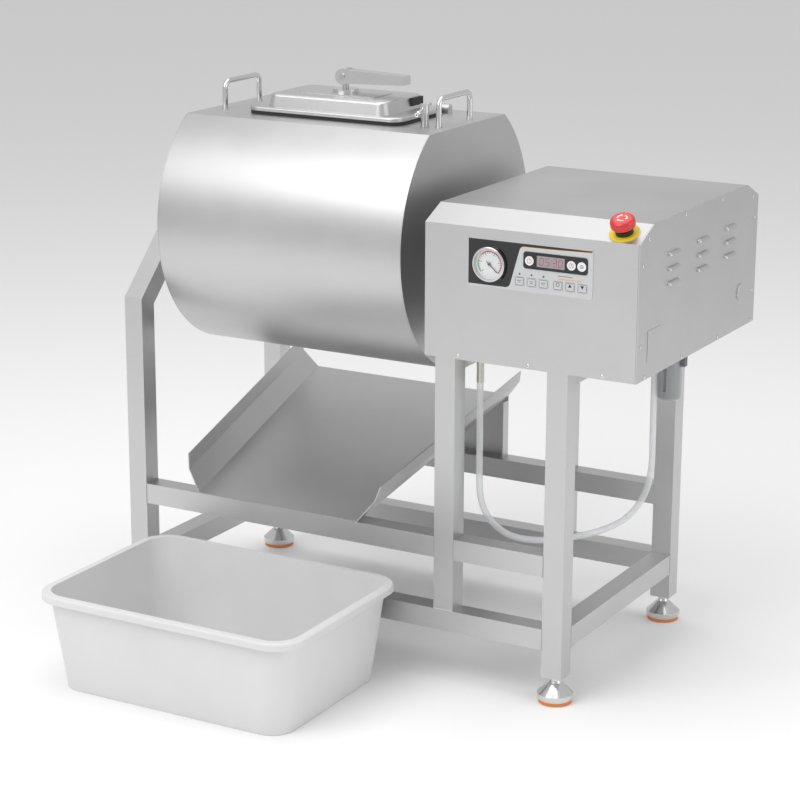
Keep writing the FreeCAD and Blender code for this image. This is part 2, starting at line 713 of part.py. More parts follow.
def build_cabinet():
    inner_right = cabinet_right - sheet - seam
    shell = side_plate(cabinet_outline(0, cabinet_bottom), cabinet_left, inner_right)
    hollow = side_plate(cabinet_outline(sheet, cabinet_bottom - 1), cabinet_left + sheet, inner_right + 1)
    shell = shell.cut(hollow)
    lip = side_plate(cabinet_outline(sheet, base_top + 1), inner_right - sheet, inner_right)
    lip = lip.cut(side_plate(cabinet_outline(sheet + 16, base_top + 17), inner_right - sheet - 1, inner_right + 1))
    shell = shell.fuse(lip).removeSplitter()
    shell = shell.cut(rod(shaft_hole_radius, V(cabinet_left - 1, shaft_y, shaft_height), X_AXIS, sheet + 2))
    shell = shell.cut(rod(gauge_body_radius, V(gauge_x, cabinet_front - 1, gauge_z), Y_AXIS, sheet + 2))
    shell = shell.cut(module_block(0, cabinet_front - 1, 1))
    shell = shell.cut(rod(estop_stem_radius + 5, estop_seat + slope_out, -slope_out, sheet + 3))
    screws = []
    plate = side_plate(cabinet_outline(0, cabinet_bottom), cabinet_right - sheet, cabinet_right)
    for y, z in side_screw_places():
        place = V(cabinet_right, y, z)
        screws.append(screw(place, -X_AXIS))
        plate = plate.cut(rod(screw_shank_radius, place + X_AXIS, -X_AXIS, sheet + 2))
        shell = shell.cut(rod(screw_shank_radius, place, -X_AXIS, screw_reach + 1))
    for y in louvre_columns:
        for row in range(3):
            z = louvre_top - row * louvre_pitch
            plate = plate.cut(louvre_slot(y, z)).fuse(louvre(y, z))
    plug_place = V(cabinet_right, plug_y, plug_z)
    plate = plate.cut(rod(plug_neck_radius, plug_place + X_AXIS, -X_AXIS, sheet + 2))
    pieces["cabinet_end_plate"] = [plate.removeSplitter()]
    head = rod(plug_radius, plug_place, X_AXIS, plug_proud)
    crown = [e for e in head.Edges if abs(e.CenterOfMass.x - cabinet_right - plug_proud) < 0.01]
    neck = rod(plug_neck_radius, plug_place, -X_AXIS, sheet + 3)
    pieces["end_plate_plug"] = [head.makeFillet(1.0, crown).fuse(neck).removeSplitter()]
    blank_y = blank_plate_y + blank_plate_size
    blank_z = blank_plate_z + blank_plate_size
    pieces["blank_plate"] = [block(cabinet_right, cabinet_right + blank_plate_thickness, blank_plate_y, blank_y,
                                   blank_plate_z, blank_z)]

    base = block(cabinet_left + sheet, inner_right, 0, inner_back, leg_top, base_top)
    lips = [block(cabinet_left + sheet, inner_right, y, y + sheet, leg_top - base_lip, leg_top)
            for y in (0, inner_back - sheet)]
    lips.append(block(inner_right - sheet, inner_right, 0, inner_back, leg_top - base_lip, leg_top))
    base = base.fuse(lips).removeSplitter()
    for x in (mid_post_left, right_leg_left):
        base = base.cut(block(x - moving_gap, x + tube + moving_gap, -1, tube, leg_top - base_lip - 1, leg_top))
    base = base.cut(rod(fitting_radius - 2, V(fitting_x, fitting_y, leg_top - 1), Z_AXIS, sheet + 2))
    base = base.cut(rod(pipe_radius, V(filter_x, filter_y, leg_top - 1), Z_AXIS, sheet + 2))
    for x in skirt_screw_places():
        for y, inward in ((cabinet_front, Y_AXIS), (cabinet_back, -Y_AXIS)):
            place = V(x, y, cabinet_bottom + screw_skirt_height)
            screws.append(screw(place, inward))
            hole = rod(screw_shank_radius, place - inward, inward, screw_reach + 2)
            shell = shell.cut(hole)
            base = base.cut(hole)
    for y, z in side_screw_places():
        base = base.cut(rod(screw_shank_radius, V(cabinet_right, y, z), -X_AXIS, screw_reach + 1))
    pieces["cabinet_shell"] = [shell]
    pieces["cabinet_base"] = [base]
    pieces["panel_screws"] = screws


# ---------------------------------------------------------------- control panel
def module_block(clearance, y0, y1):
    """The opening or body of the display and key module behind the film."""
    left = min(display_left, key_places[0] - key_width / 2) - module_margin
    right = max(display_left + display_width, key_places[-1] + key_width / 2) + module_margin
    low = key_row - key_height / 2 - module_margin
    high = display_bottom + display_height + module_margin
    return block(left + clearance, right - clearance, y0, y1, low + clearance, high - clearance)


def display_block(clearance, y0, y1):
    """The raised display bezel."""
    x = display_left + display_width / 2
    z = display_bottom + display_height / 2
    slab = rounded_slab(x, z, display_width + 2 * clearance, display_height + 2 * clearance, 5 + clearance, 0, y1 - y0)
    slab.rotate(V(0, 0, 0), X_AXIS, 90)
    slab.translate(V(0, y1, 0))
    return slab


def key_block(x, clearance, y0, y1):
    """A key cap, or with a clearance the pocket that it moves in."""
    half_x = key_width / 2 + clearance
    half_z = key_height / 2 + clearance
    return block(x - half_x, x + half_x, y0, y1, key_row - half_z, key_row + half_z)


def build_controls():
    front = cabinet_front
    film_front = front - film
    overlay = rounded_slab(panel_left + panel_width / 2, panel_bottom + panel_height / 2, panel_width, panel_height,
                           5, 0, film)
    overlay.rotate(V(0, 0, 0), X_AXIS, 90)
    overlay.translate(V(0, front, 0))
    overlay = overlay.cut(rod(gauge_radius, V(gauge_x, film_front - 1, gauge_z), Y_AXIS, film + 2))
    overlay = overlay.cut(display_block(0, film_front - 1, front + 1))
    for x in key_places:
        overlay = overlay.cut(key_block(x, key_clearance, film_front - 1, front + 1))
    pieces["control_overlay"] = [overlay]

    bezel_front = front - display_proud
    module = module_block(0, front, front + module_depth).fuse(display_block(0, bezel_front, front + 1))
    names = ("power_button", "timer_button", "mode_button")
    for name, x in zip(names, button_places):
        start = V(x, bezel_front - 0.8, button_row)
        pieces[name] = [rod(button_radius, start, Y_AXIS, 4.0)]
        module = module.cut(rod(button_radius + key_clearance, start, Y_AXIS, 4.0 + button_travel + moving_gap))
    for number, x in enumerate(key_places):
        key_front = film_front - key_proud
        pieces["key_%d" % (number + 1)] = [key_block(x, 0, key_front, key_front + 4)]
        module = module.cut(key_block(x, key_clearance, film_front - 1, key_front + 4 + key_travel + moving_gap))
    pieces["display_module"] = [module.removeSplitter()]


def build_gauge():
    front = cabinet_front
    face = front - gauge_proud
    dial = front - 1.0
    case = rod(gauge_radius, V(gauge_x, face, gauge_z), Y_AXIS, gauge_proud)
    rim = [e for e in case.Edges if abs(e.CenterOfMass.y - face) < 0.01]
    case = case.makeFillet(2.0, rim)
    case = case.fuse(rod(gauge_body_radius, V(gauge_x, front, gauge_z), Y_AXIS, gauge_depth))
    case = case.cut(rod(gauge_radius - 3.5, V(gauge_x, face - 1, gauge_z), Y_AXIS, dial - face + 1))
    case = case.cut(rod(1.0 + bearing_clearance, V(gauge_x, dial - 1, gauge_z), Y_AXIS, 8))
    port_z = shaft_height
    port = rod(5.0, V(gauge_x, front + gauge_depth - 1, port_z), Y_AXIS, fitting_y - pipe_radius - front - gauge_depth + 1)
    pieces["gauge_case"] = [case.fuse(port).removeSplitter()]
    pieces["gauge_lens"] = [rod(gauge_radius - 3.5, V(gauge_x, face + 0.8, gauge_z), Y_AXIS, 1.4)]
    hub = rod(2.6, V(gauge_x, dial - 3.2, gauge_z), Y_AXIS, 1.6)
    arbor = rod(1.0, V(gauge_x, dial - 3.2, gauge_z), Y_AXIS, 8)
    pointer = block(gauge_x - 0.8, gauge_x + 0.8, dial - 2.6, dial - 2.0, gauge_z - 7, gauge_z + needle_length)
    needle = hub.fuse([arbor, pointer]).removeSplitter()
    needle.rotate(V(gauge_x, 0, gauge_z), Y_AXIS, 132)
    pieces["gauge_needle"] = [needle]


def build_estop():
    seat = estop_seat
    out = slope_out
    ring = sleeve(estop_ring_radius, estop_collar_radius, seat, out, estop_ring_height)
    pieces["estop_ring"] = [ring]
    bore = estop_stem_radius + bearing_clearance
    collar = sleeve(estop_collar_radius, bore, seat, out, estop_collar_height)
    neck = sleeve(estop_stem_radius + 5, bore, seat - out * (sheet + 1), out, sheet + 1)
    body = rod(estop_block / 2, seat - out * (sheet + estop_block_depth), out, estop_block_depth)
    pocket = rod(bore, seat - out * (sheet + 14), out, 20)
    pieces["estop_collar"] = [collar.fuse([neck, body.cut(pocket)]).cut(pocket).removeSplitter()]
    low = seat + out * (estop_collar_height + estop_travel + moving_gap)
    head = rod(estop_head_radius, low, out, estop_head_height)
    crown = [e for e in head.Edges if (e.CenterOfMass - low).dot(out) > estop_head_height - 0.01]
    under = [e for e in head.Edges if abs((e.CenterOfMass - low).dot(out)) < 0.01]
    head = head.makeFillet(7.0, crown).makeFillet(4.0, under[:1])
    stem = rod(estop_stem_radius, seat - out * (sheet + 14 - estop_travel - 1), out,
               sheet + 14 + estop_collar_height)
    pieces["estop_head"] = [head.fuse(stem).removeSplitter()]


# ---------------------------------------------------------------- drive
def pillow_block(x):
    """A pillow block bearing on the stand's top plate."""
    foot = shaft_height - block_rise
    base = block(x - block_width / 2, x + block_width / 2, shaft_y - block_length / 2, shaft_y + block_length / 2,
                 foot, foot + 15)
    ring = rod(32.0, V(x - block_width / 2, shaft_y, shaft_height), X_AXIS, block_width)
    cheek = block(x - block_width / 2, x + block_width / 2, shaft_y - 30, shaft_y + 30, foot, shaft_height)
    bore = rod(shaft_radius + bearing_clearance, V(x - block_width, shaft_y, shaft_height), X_AXIS, 2 * block_width)
    housing = base.fuse([ring, cheek]).cut(bore)
    for side in (-1, 1):
        centre = V(x, shaft_y + side * (block_length / 2 - 18), foot + 15)
        housing = housing.fuse(rod(9, centre, Z_AXIS, 7))
    return housing.removeSplitter()


def flange_bearing():
    """The square flange bearing on the inside of the crossbar."""
    length = drum_left - hub_height - moving_gap - tube
    half = 42.0
    plate = block(tube, tube + 11, shaft_y - half, shaft_y + half, shaft_height - half, shaft_height + half)
    ring = rod(30.0, V(tube, shaft_y, shaft_height), X_AXIS, length)
    bore = rod(journal_radius + bearing_clearance, V(tube - 1, shaft_y, shaft_height), X_AXIS, length + 2)
    housing = plate.fuse(ring).cut(bore)
    for side in (-1, 1):
        housing = housing.fuse(rod(7, V(tube + 11, shaft_y + side * 31, shaft_height), X_AXIS, 6))
    return housing.removeSplitter()


def pulley(x, y, z, radius, bore_radius):
    """A flat belt pulley with a rim each side and an outward hub."""
    wheel = rod(radius, V(x, y, z), X_AXIS, pulley_width)
    rims = [rod(radius + belt_height + 3, V(start, y, z), X_AXIS, 2.0) for start in (x - 2, x + pulley_width)]
    bore = rod(bore_radius, V(x - 10, y, z), X_AXIS, pulley_width + 20)
    return wheel.fuse(rims).cut(bore).removeSplitter()


def belt():
    """The belt as a closed band round both pulleys, clear of their faces by the running gap."""
    x0 = pulley_left + moving_gap
    width = pulley_width - 2 * moving_gap
    dy = motor_y - shaft_y
    dz = motor_z - shaft_height
    distance = math.hypot(dy, dz)
    heading = math.atan2(dz, dy)

    def band(extra):
        big = large_pulley_radius + extra
        small = small_pulley_radius + extra
        lean = math.acos((big - small) / distance)
        corners = []
        for centre_y, centre_z, radius, turn in ((shaft_y, shaft_height, big, lean), (motor_y, motor_z, small, lean),
                                                 (motor_y, motor_z, small, -lean),
                                                 (shaft_y, shaft_height, big, -lean)):
            corners.append((centre_y + radius * math.cos(heading + turn), centre_z + radius * math.sin(heading + turn)))
        return (side_plate(corners, x0, x0 + width)
                .fuse([rod(big, V(x0, shaft_y, shaft_height), X_AXIS, width),
                       rod(small, V(x0, motor_y, motor_z), X_AXIS, width)]).removeSplitter())
    return band(moving_gap + belt_height).cut(band(moving_gap))


def build_drive():
    foot = shaft_height - block_rise
    outer = block(stand_left, stand_right, shaft_y - stand_half_width, shaft_y + stand_half_width, base_top, foot)
    inner = block(stand_left - 1, stand_right + 1, shaft_y - stand_half_width + stand_wall,
                  shaft_y + stand_half_width - stand_wall, base_top - 1, foot - stand_wall)
    pieces["bearing_stand"] = [outer.cut(inner)]
    pieces["shaft_bearings"] = [pillow_block(stand_left + 25), pillow_block(stand_right - 25), flange_bearing()]
    pieces["drum_pulley"] = [pulley(pulley_left, shaft_y, shaft_height, large_pulley_radius, shaft_radius)]
    motor = rod(motor_radius, V(motor_left, motor_y, motor_z), X_AXIS, gearhead_left - motor_left)
    gearhead = block(gearhead_left, gearhead_right, motor_y - 40, motor_y + 40, motor_z - 40, motor_z + 40)
    foot_block = block(motor_left + 20, gearhead_right - 5, motor_y - 30, motor_y + 30, base_top, motor_z - 30)
    box = block(motor_left + 30, motor_left + 90, motor_y - 22, motor_y + 22, motor_z + 30, motor_z + 62)
    stub_length = pulley_left - 2 - moving_gap - gearhead_right
    nose = sleeve(20, motor_shaft_radius + bearing_clearance, V(gearhead_right, motor_y, motor_z), X_AXIS, stub_length)
    socket = rod(motor_shaft_radius + bearing_clearance, V(gearhead_right - 20, motor_y, motor_z), X_AXIS, 60)
    pieces["gear_motor"] = [motor.fuse([gearhead, foot_block, box, nose]).cut(socket).removeSplitter()]
    small = pulley(pulley_left, motor_y, motor_z, small_pulley_radius, 1.0)
    output = rod(motor_shaft_radius, V(gearhead_right - 19, motor_y, motor_z), X_AXIS, pulley_left + pulley_width + 2
                 - gearhead_right + 19)
    pieces["motor_pulley"] = [small.fuse(output).removeSplitter()]
    pieces["drive_belt"] = [belt()]


# ---------------------------------------------------------------- vacuum line
def build_vacuum_line():
    start = shaft_end - 14
    housing = rod(union_radius, V(start, shaft_y, shaft_height), X_AXIS, union_length)
    bore = rod(shaft_radius + bearing_clearance, V(start - 1, shaft_y, shaft_height), X_AXIS, 15 + moving_gap)
    arm = block(start, start + union_length, shaft_y - 12, shaft_y + 12, base_top, shaft_height - 20)
    pieces["vacuum_union"] = [housing.fuse(arm).cut(bore).removeSplitter()]

    port_x = start + union_length - 10
    front_run = [V(port_x, shaft_y - union_radius, shaft_height), V(port_x, fitting_y, shaft_height),
                 V(fitting_x, fitting_y, shaft_height), V(fitting_x, fitting_y, base_top)]
    pump_port = base_top + 70
    back_run = [V(filter_x, filter_y, base_top), V(filter_x, filter_y, pump_port), V(filter_x, pump_front, pump_port)]
    pieces["vacuum_pipes"] = [pipe_along(bent_path(front_run, pipe_bend), pipe_radius),
                              pipe_along(bent_path(back_run, 20), pipe_radius)]

    under = leg_top
    nut = rod(fitting_radius, V(fitting_x, fitting_y, under - 14), Z_AXIS, 14)
    body = Part.makeCone(fitting_radius - 2, fitting_radius, 18, V(fitting_x, fitting_y, under - 32), Z_AXIS)
    ferrule = rod(hose_radius + 0.8, V(fitting_x, fitting_y, fitting_low), Z_AXIS, fitting_height)
    pieces["hose_fitting"] = [nut.fuse([body, ferrule]).removeSplitter()]

    head_low = filter_head_bottom
    half = filter_head_half
    head = block(filter_x - half, filter_x + half, filter_y - half, filter_y + half, head_low, under)
    elbow = block(filter_port_x - 8, filter_x - half + 1, filter_y - 8, filter_y + 8, head_low + 4, head_low + 22)
    tail = rod(hose_radius + 0.8, V(filter_port_x, filter_y, filter_tail_low), Z_AXIS, 18)
    latch = block(filter_x + half, filter_x + half + 7, filter_y - 6, filter_y + 6, head_low - 14, head_low + 8)
    pieces["filter_head"] = [head.fuse([elbow, tail, latch]).removeSplitter()]
    bowl = rod(bowl_radius, V(filter_x, filter_y, head_low - bowl_length), Z_AXIS, bowl_length)
    bottom = [e for e in bowl.Edges if abs(e.CenterOfMass.z - (head_low - bowl_length)) < 0.01]
    bowl = bowl.makeFillet(6.0, bottom)
    cavity = rod(bowl_radius - 2.5, V(filter_x, filter_y, head_low - bowl_length + 4), Z_AXIS, bowl_length)
    slot = block(filter_x - 2.5, filter_x + 2.5, filter_y - bowl_radius - 1, filter_y, head_low - 60, head_low - 14)
    pieces["filter_bowl"] = [bowl.cut(cavity).cut(slot)]

    crank = block(pump_left, pump_left + 110, pump_front + 20, pump_front + 100, base_top + 12, base_top + 96)
    heads = [rod(34, V(pump_left + 55, pump_front + 60, base_top + 96), Z_AXIS, 40),
             rod(30, V(pump_left + 67, pump_front, base_top + 60), Y_AXIS, 30),
             rod(36, V(pump_left + 55, pump_front + 100, base_top + 54), Y_AXIS, 45)]
    feet = [block(pump_left + 5, pump_left + 25, pump_front + 25, pump_front + 95, base_top, base_top + 14),
            block(pump_left + 85, pump_left + 105, pump_front + 25, pump_front + 95, base_top, base_top + 14)]
    pieces["vacuum_pump"] = [crank.fuse(heads + feet).removeSplitter()]


# points of the clear hose under the cabinet: down from the fitting, along low, up to the filter
hose_points = [
    V(fitting_x, fitting_y, fitting_low),
    V(705.8, 59.8, 490.0),
    V(706.4, 60.5, 435.0),
    V(706.0, 60.0, 375.0),
    V(708.0, 62.0, 322.0),
    V(722.0, 78.0, 281.0),
    V(748.0, 107.0, 250.0),
    V(786.0, 148.0, 238.0),
    V(827.0, 192.0, 239.0),
    V(864.0, 232.0, 245.0),
    V(898.0, 268.0, 263.0),
    V(921.0, 292.0, 303.0),
    V(929.0, 300.5, 352.0),
    V(928.6, 300.0, 406.0),
    V(928.2, 300.2, 462.0),
    V(928.0, 300.0, 512.0),
    V(filter_port_x, filter_y, filter_tail_low),
]


def cord_path(points):
    """Straight runs with an arc in every corner, each as large as its two runs allow."""
    edges = []
    radii = []
    here = points[0]
    for before, corner, after in zip(points, points[1:], points[2:]):
        back = before - corner
        ahead = after - corner
        setback = 0.45 * min(back.Length, ahead.Length)
        back.normalize()
        ahead.normalize()
        half_turn = (math.pi - back.getAngle(ahead)) / 2
        radius = setback / math.tan(half_turn)
        inward = (back + ahead).normalize()
        centre = corner + inward * (radius / math.cos(half_turn))
        edges.append(Part.LineSegment(here, corner + back * setback).toShape())
        edges.append(Part.Arc(corner + back * setback, centre - inward * radius, corner + ahead * setback).toShape())
        radii.append(radius)
        here = corner + ahead * setback
    edges.append(Part.LineSegment(here, points[-1]).toShape())
    return Part.Wire(edges), radii


def build_hose():
    path, radii = cord_path(hose_points)
    hose = pipe_along(path, hose_radius)
    pieces["vacuum_hose"] = [hose]
    print("hose length %.1f, tightest radius %.1f" % (path.Length, min(radii)))
    print("hose volume over section times length %.5f" % (hose.Volume / (math.pi * hose_radius ** 2 * path.Length)))


# ---------------------------------------------------------------- chute
def sheet_panel(corners, thickness):
    """A flat sheet on four corners, thickened towards the given side."""
    return profile(corners).extrude(thickness)


def build_chute():
    """The tray, its flared walls and the leg folded down at the back.

    The tray widens from front to back. Its front edge lies on the front upper rail.
    """
    front_half = chute_front_width / 2
    back_half = chute_back_width / 2
    middle = chute_front_left + front_half
    low = upper_rail_top
    high = upper_rail_top + chute_rise
    front = [V(middle + side * front_half, 0, low) for side in (-1, 1)]
    back = [V(middle + side * back_half, chute_back_y, high) for side in (-1, 1)]
    up = V(0, -chute_rise, chute_back_y).normalize()
    tray = sheet_panel([front[0], front[1], back[1], back[0]], up * chute_sheet)
    walls = []
    for number, side in ((0, -1), (1, 1)):
        edge = (back[number] - front[number]).normalize()
        flare = V(side * chute_flare_out, 0, chute_flare_up)
        lip = V(side * chute_lip_out, 0, chute_lip_up)
        fold_front = front[number] + flare + edge * 13
        fold_back = back[number] + flare - edge * 11
        top_front = fold_front + lip + edge * 9
        top_back = fold_back + lip - edge * 6
        for quad in ([front[number], back[number], fold_back, fold_front], [fold_front, fold_back, top_back, top_front]):
            across = (quad[1] - quad[0]).cross(quad[3] - quad[0]).normalize()
            if across.x * side > 0:
                across = -across
            walls.append(sheet_panel(quad, across * chute_sheet))
    foot_back = chute_back_y - 0.5
    foot_front = foot_back - chute_sheet
    leg = block(middle - back_half, middle + back_half, foot_front, foot_back, low, high + 0.5)
    tabs = [block(x, x + chute_sheet, foot_front - chute_tab, foot_front, low, high - chute_tab / 2)
            for x in (middle - back_half, middle + back_half - chute_sheet)]
    pieces["discharge_chute"] = [tray.fuse(walls + [leg] + tabs).removeSplitter()]


# ---------------------------------------------------------------- tub
def build_tub():
    body_high = tub_height - tub_rim_height
    skirt_length = tub_rim_length - 2 * tub_rim
    skirt_width = tub_rim_width - 2 * tub_rim
    body = rounded_loft(tub_x, tub_y, (tub_floor_length, tub_floor_width, tub_corner, 0),
                        (skirt_length, skirt_width, tub_corner + 6, tub_height))
    rim = rounded_slab(tub_x, tub_y, tub_rim_length, tub_rim_width, tub_corner + 14, body_high, tub_height)
    rim = rim.makeFillet(4.0, [e for e in rim.Edges if e.BoundBox.ZMin > tub_height - 0.01])
    hollow = rounded_loft(tub_x, tub_y,
                          (tub_floor_length - 2 * tub_wall, tub_floor_width - 2 * tub_wall, tub_corner - tub_wall, tub_wall),
                          (skirt_length - 2 * tub_wall, skirt_width - 2 * tub_wall, tub_corner + 6 - tub_wall,
                           tub_height + 0.5))
    pieces["discharge_tub"] = [body.fuse(rim).cut(hollow).removeSplitter()]


# ---------------------------------------------------------------- put together
build_stand()
build_feet()
build_drum()
build_drum_shafts()
build_vent_valve()
build_lid()
build_hinge()
build_clamp()
build_cabinet()
build_controls()
build_gauge()
build_estop()
build_drive()
build_vacuum_line()
build_hose()
build_chute()
build_tub()

everything = Part.makeCompound([solid for name, group in pieces.items() if name != "vacuum_hose" for solid in group])
extent = everything.optimalBoundingBox(False)
origin = V((extent.XMin + extent.XMax) / 2, (extent.YMin + extent.YMax) / 2, extent.ZMin)

os.makedirs("parts", exist_ok=True)
for name, group in pieces.items():
    shape = group[0] if len(group) == 1 else Part.makeCompound(group)
    shape.translate(-origin)
    shape.exportStep("parts/%s.step" % name)


def place(label, x, y, z):
    """Print a place in metres from the finished origin."""
    print("%s %.5f %.5f %.5f" % (label, (x - origin.x) / 1000, (y - origin.y) / 1000, (z - origin.z) / 1000))


print("origin", origin, "size %.1f %.1f %.1f" % (extent.XLength, extent.YLength, extent.ZLength), len(pieces), "nodes")
place("drum axis", drum_middle, shaft_y, shaft_height)
place("lid hinge", drum_middle, hinge_y, hinge_z)
place("clamp stud", drum_middle, shaft_y, dome_top)
place("lever pin", drum_middle, shaft_y, clamp_pin_z)
place("vent valve", drum_right - vent_inset, shaft_y - vent_forward, deck_z)
place("gauge", gauge_x, cabinet_front, gauge_z)
place("motor pulley", pulley_left, motor_y, motor_z)
place("estop", estop_seat.x, estop_seat.y, estop_seat.z)
print("estop outward %.5f %.5f %.5f" % (slope_out.x, slope_out.y, slope_out.z))
for name, group in pieces.items():
    for solid in group:
        if not solid.isValid() or len(solid.Solids) != 1:
            print("CHECK", name, solid.ShapeType, len(solid.Solids), solid.isValid())
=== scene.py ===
# %% [markdown]
# # A meat vacuum tumbler
# The machine turns a round steel drum slowly under vacuum. This lesson dresses its imported model: it loads
# the rigid pieces, gives each its finish, and adds what is easier to make in Blender, such as the clear
# hose, the printed panel and weld beads.

# %% Load the imported model
import math

import bmesh
import bpy
from mathutils import Matrix, Vector


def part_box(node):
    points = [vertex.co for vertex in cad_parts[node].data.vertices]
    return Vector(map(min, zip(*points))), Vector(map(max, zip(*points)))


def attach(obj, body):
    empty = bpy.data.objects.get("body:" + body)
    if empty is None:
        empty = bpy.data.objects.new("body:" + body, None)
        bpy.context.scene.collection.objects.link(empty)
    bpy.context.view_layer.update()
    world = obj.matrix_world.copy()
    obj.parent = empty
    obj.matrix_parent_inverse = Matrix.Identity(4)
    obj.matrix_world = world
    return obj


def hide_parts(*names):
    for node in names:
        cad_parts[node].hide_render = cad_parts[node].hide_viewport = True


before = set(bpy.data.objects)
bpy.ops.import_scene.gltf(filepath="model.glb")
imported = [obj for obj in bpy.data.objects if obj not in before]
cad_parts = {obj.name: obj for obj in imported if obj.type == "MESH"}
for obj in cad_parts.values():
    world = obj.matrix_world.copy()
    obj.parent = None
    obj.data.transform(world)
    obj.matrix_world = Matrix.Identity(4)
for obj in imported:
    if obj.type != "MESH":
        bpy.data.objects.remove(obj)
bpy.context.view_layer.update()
scene = bpy.context.scene
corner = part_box("left_frame")[0]

# %% [markdown]
# ## Places
# The machine was drawn in millimetres from the front left corner of its stand. `at` turns such a place
# into Blender's metres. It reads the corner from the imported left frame, so both stay in step.

# %% Places
MM = 0.001


def at(x, y, z):
    """A place in the stand's own millimetres, as a point in metres."""
    return Vector((corner.x + x * MM, corner.y + y * MM, z * MM))


print("stand corner at", tuple(round(c, 4) for c in corner))

# %% [markdown]
# ## Camera
# A long lens keeps the machine's edges nearly parallel, as in a catalogue picture. The matrix columns are
# the camera's right, up and backward directions.

# %% Camera
camera_data = bpy.data.cameras.new("camera")
camera_data.sensor_width = 36
camera_data.lens = 105.26
camera_data.clip_end = 50
camera = bpy.data.objects.new("camera", camera_data)
scene.collection.objects.link(camera)
yaw, pitch, roll = math.radians(29.377), math.radians(15.443), math.radians(0.2136)
forward = Vector((-math.sin(yaw) * math.cos(pitch), math.cos(yaw) * math.cos(pitch), -math.sin(pitch)))
level = Vector((math.cos(yaw), math.sin(yaw), 0))
upward = level.cross(forward)
right = level * math.cos(roll) + upward * math.sin(roll)
above = upward * math.cos(roll) - level * math.sin(roll)
turn = Matrix((right, above, -forward)).transposed().to_4x4()
camera.matrix_world = Matrix.Translation(at(2496.6, -3402.8, 1583.0)) @ turn
scene.camera = camera
print("camera at", tuple(round(c, 3) for c in camera.matrix_world.translation))

# %% [markdown]
# ## Shader maths
# Long chains of Math nodes are hard to read. `Value` wraps a socket, so that an expression such as
# `1 - mask * 0.3` adds the nodes by itself. `Finish` holds one material and makes any other node.

# %% Shader maths
class Value:
    """A number that flows through a material, with arithmetic."""

    def __init__(self, finish, socket):
        self.finish = finish
        self.socket = socket

    def _maths(self, operation, first, second):
        return self.finish.node("ShaderNodeMath", {"operation": operation}, {0: first, 1: second})

    def __add__(self, other):
        return self._maths("ADD", self, other)

    __radd__ = __add__

    def __sub__(self, other):
        return self._maths("SUBTRACT", self, other)

    def __rsub__(self, other):
        return self._maths("SUBTRACT", other, self)

    def __mul__(self, other):
        return self._maths("MULTIPLY", self, other)

    __rmul__ = __mul__

    def raised(self, power):
        return self._maths("POWER", self, power)


class Finish:
    """One procedural material, built node by node."""

    def __init__(self, name):
        self.material = bpy.data.materials.new(name)
        self.material.use_nodes = True
        self.tree = self.material.node_tree
        self.tree.nodes.clear()
        self.shader = self.tree.nodes.new("ShaderNodeBsdfPrincipled")
        output = self.tree.nodes.new("ShaderNodeOutputMaterial")
        self.tree.links.new(self.shader.outputs[0], output.inputs["Surface"])

    def feed(self, socket, value):
        """Link a Value, or set a plain number, colour or vector."""
        if isinstance(value, Value):
            self.tree.links.new(value.socket, socket)
        else:
            socket.default_value = value

    def node(self, kind, settings=None, inputs=None, output=0):
        """Add a node, set it up, feed its inputs and return one output."""
        made = self.tree.nodes.new(kind)
        for key, value in (settings or {}).items():
            setattr(made, key, value)
        for key, value in (inputs or {}).items():
            self.feed(made.inputs[key], value)
        return Value(self, made.outputs[output])

    def place(self, stretch=(1, 1, 1), turned=(0, 0, 0)):
        """Where a point lies on the piece, stretched for grain."""
        where = self.node("ShaderNodeTexCoord", output="Object")
        return self.node("ShaderNodeMapping", inputs={"Vector": where, "Scale": stretch, "Rotation": turned})

    def noise(self, place, scale, detail=3.0, rough=0.55):
        return self.node("ShaderNodeTexNoise", inputs={"Vector": place, "Scale": scale, "Detail": detail,
                                                       "Roughness": rough})

    def ramp(self, value, low, high):
        """Spread the range low to high over 0 to 1."""
        return self.node("ShaderNodeMapRange", inputs={"Value": value, "From Min": low, "From Max": high})

    def mix(self, factor, first, second):
        """Mix two colours."""
        made = self.tree.nodes.new("ShaderNodeMix")
        made.data_type = "RGBA"
        for key, value in (("Factor_Float", factor), ("A_Color", first), ("B_Color", second)):
            socket = next(s for s in made.inputs if s.identifier == key)
            self.feed(socket, value)
        return Value(self, next(s for s in made.outputs if s.identifier == "Result_Color"))

    def bump(self, height, distance, strength=1.0):
        """Feed the surface's fine relief."""
        relief = self.node("ShaderNodeBump", inputs={"Height": height, "Distance": distance,
                                                     "Strength": strength}, output="Normal")
        self.feed(self.shader.inputs["Normal"], relief)

    def set(self, **sockets):
        """Set or link the main shader's sockets; underscores stand for spaces."""
        for key, value in sockets.items():
            self.feed(self.shader.inputs[key.replace("_", " ")], value)
        return self


def grey(level, warm=0.0):
    """A neutral colour, a little warm or cool."""
    return (level * (1 + warm), level, level * (1 - warm), 1)


print("shader helpers ready")

# %% [markdown]
# ## Stainless steel
# Satin stainless is covered in fine parallel scratches. Noise squeezed across one direction and drawn out
# along the other gives them. A second, wide noise adds the faint cloudiness that handling leaves, in both
# the colour and the roughness.

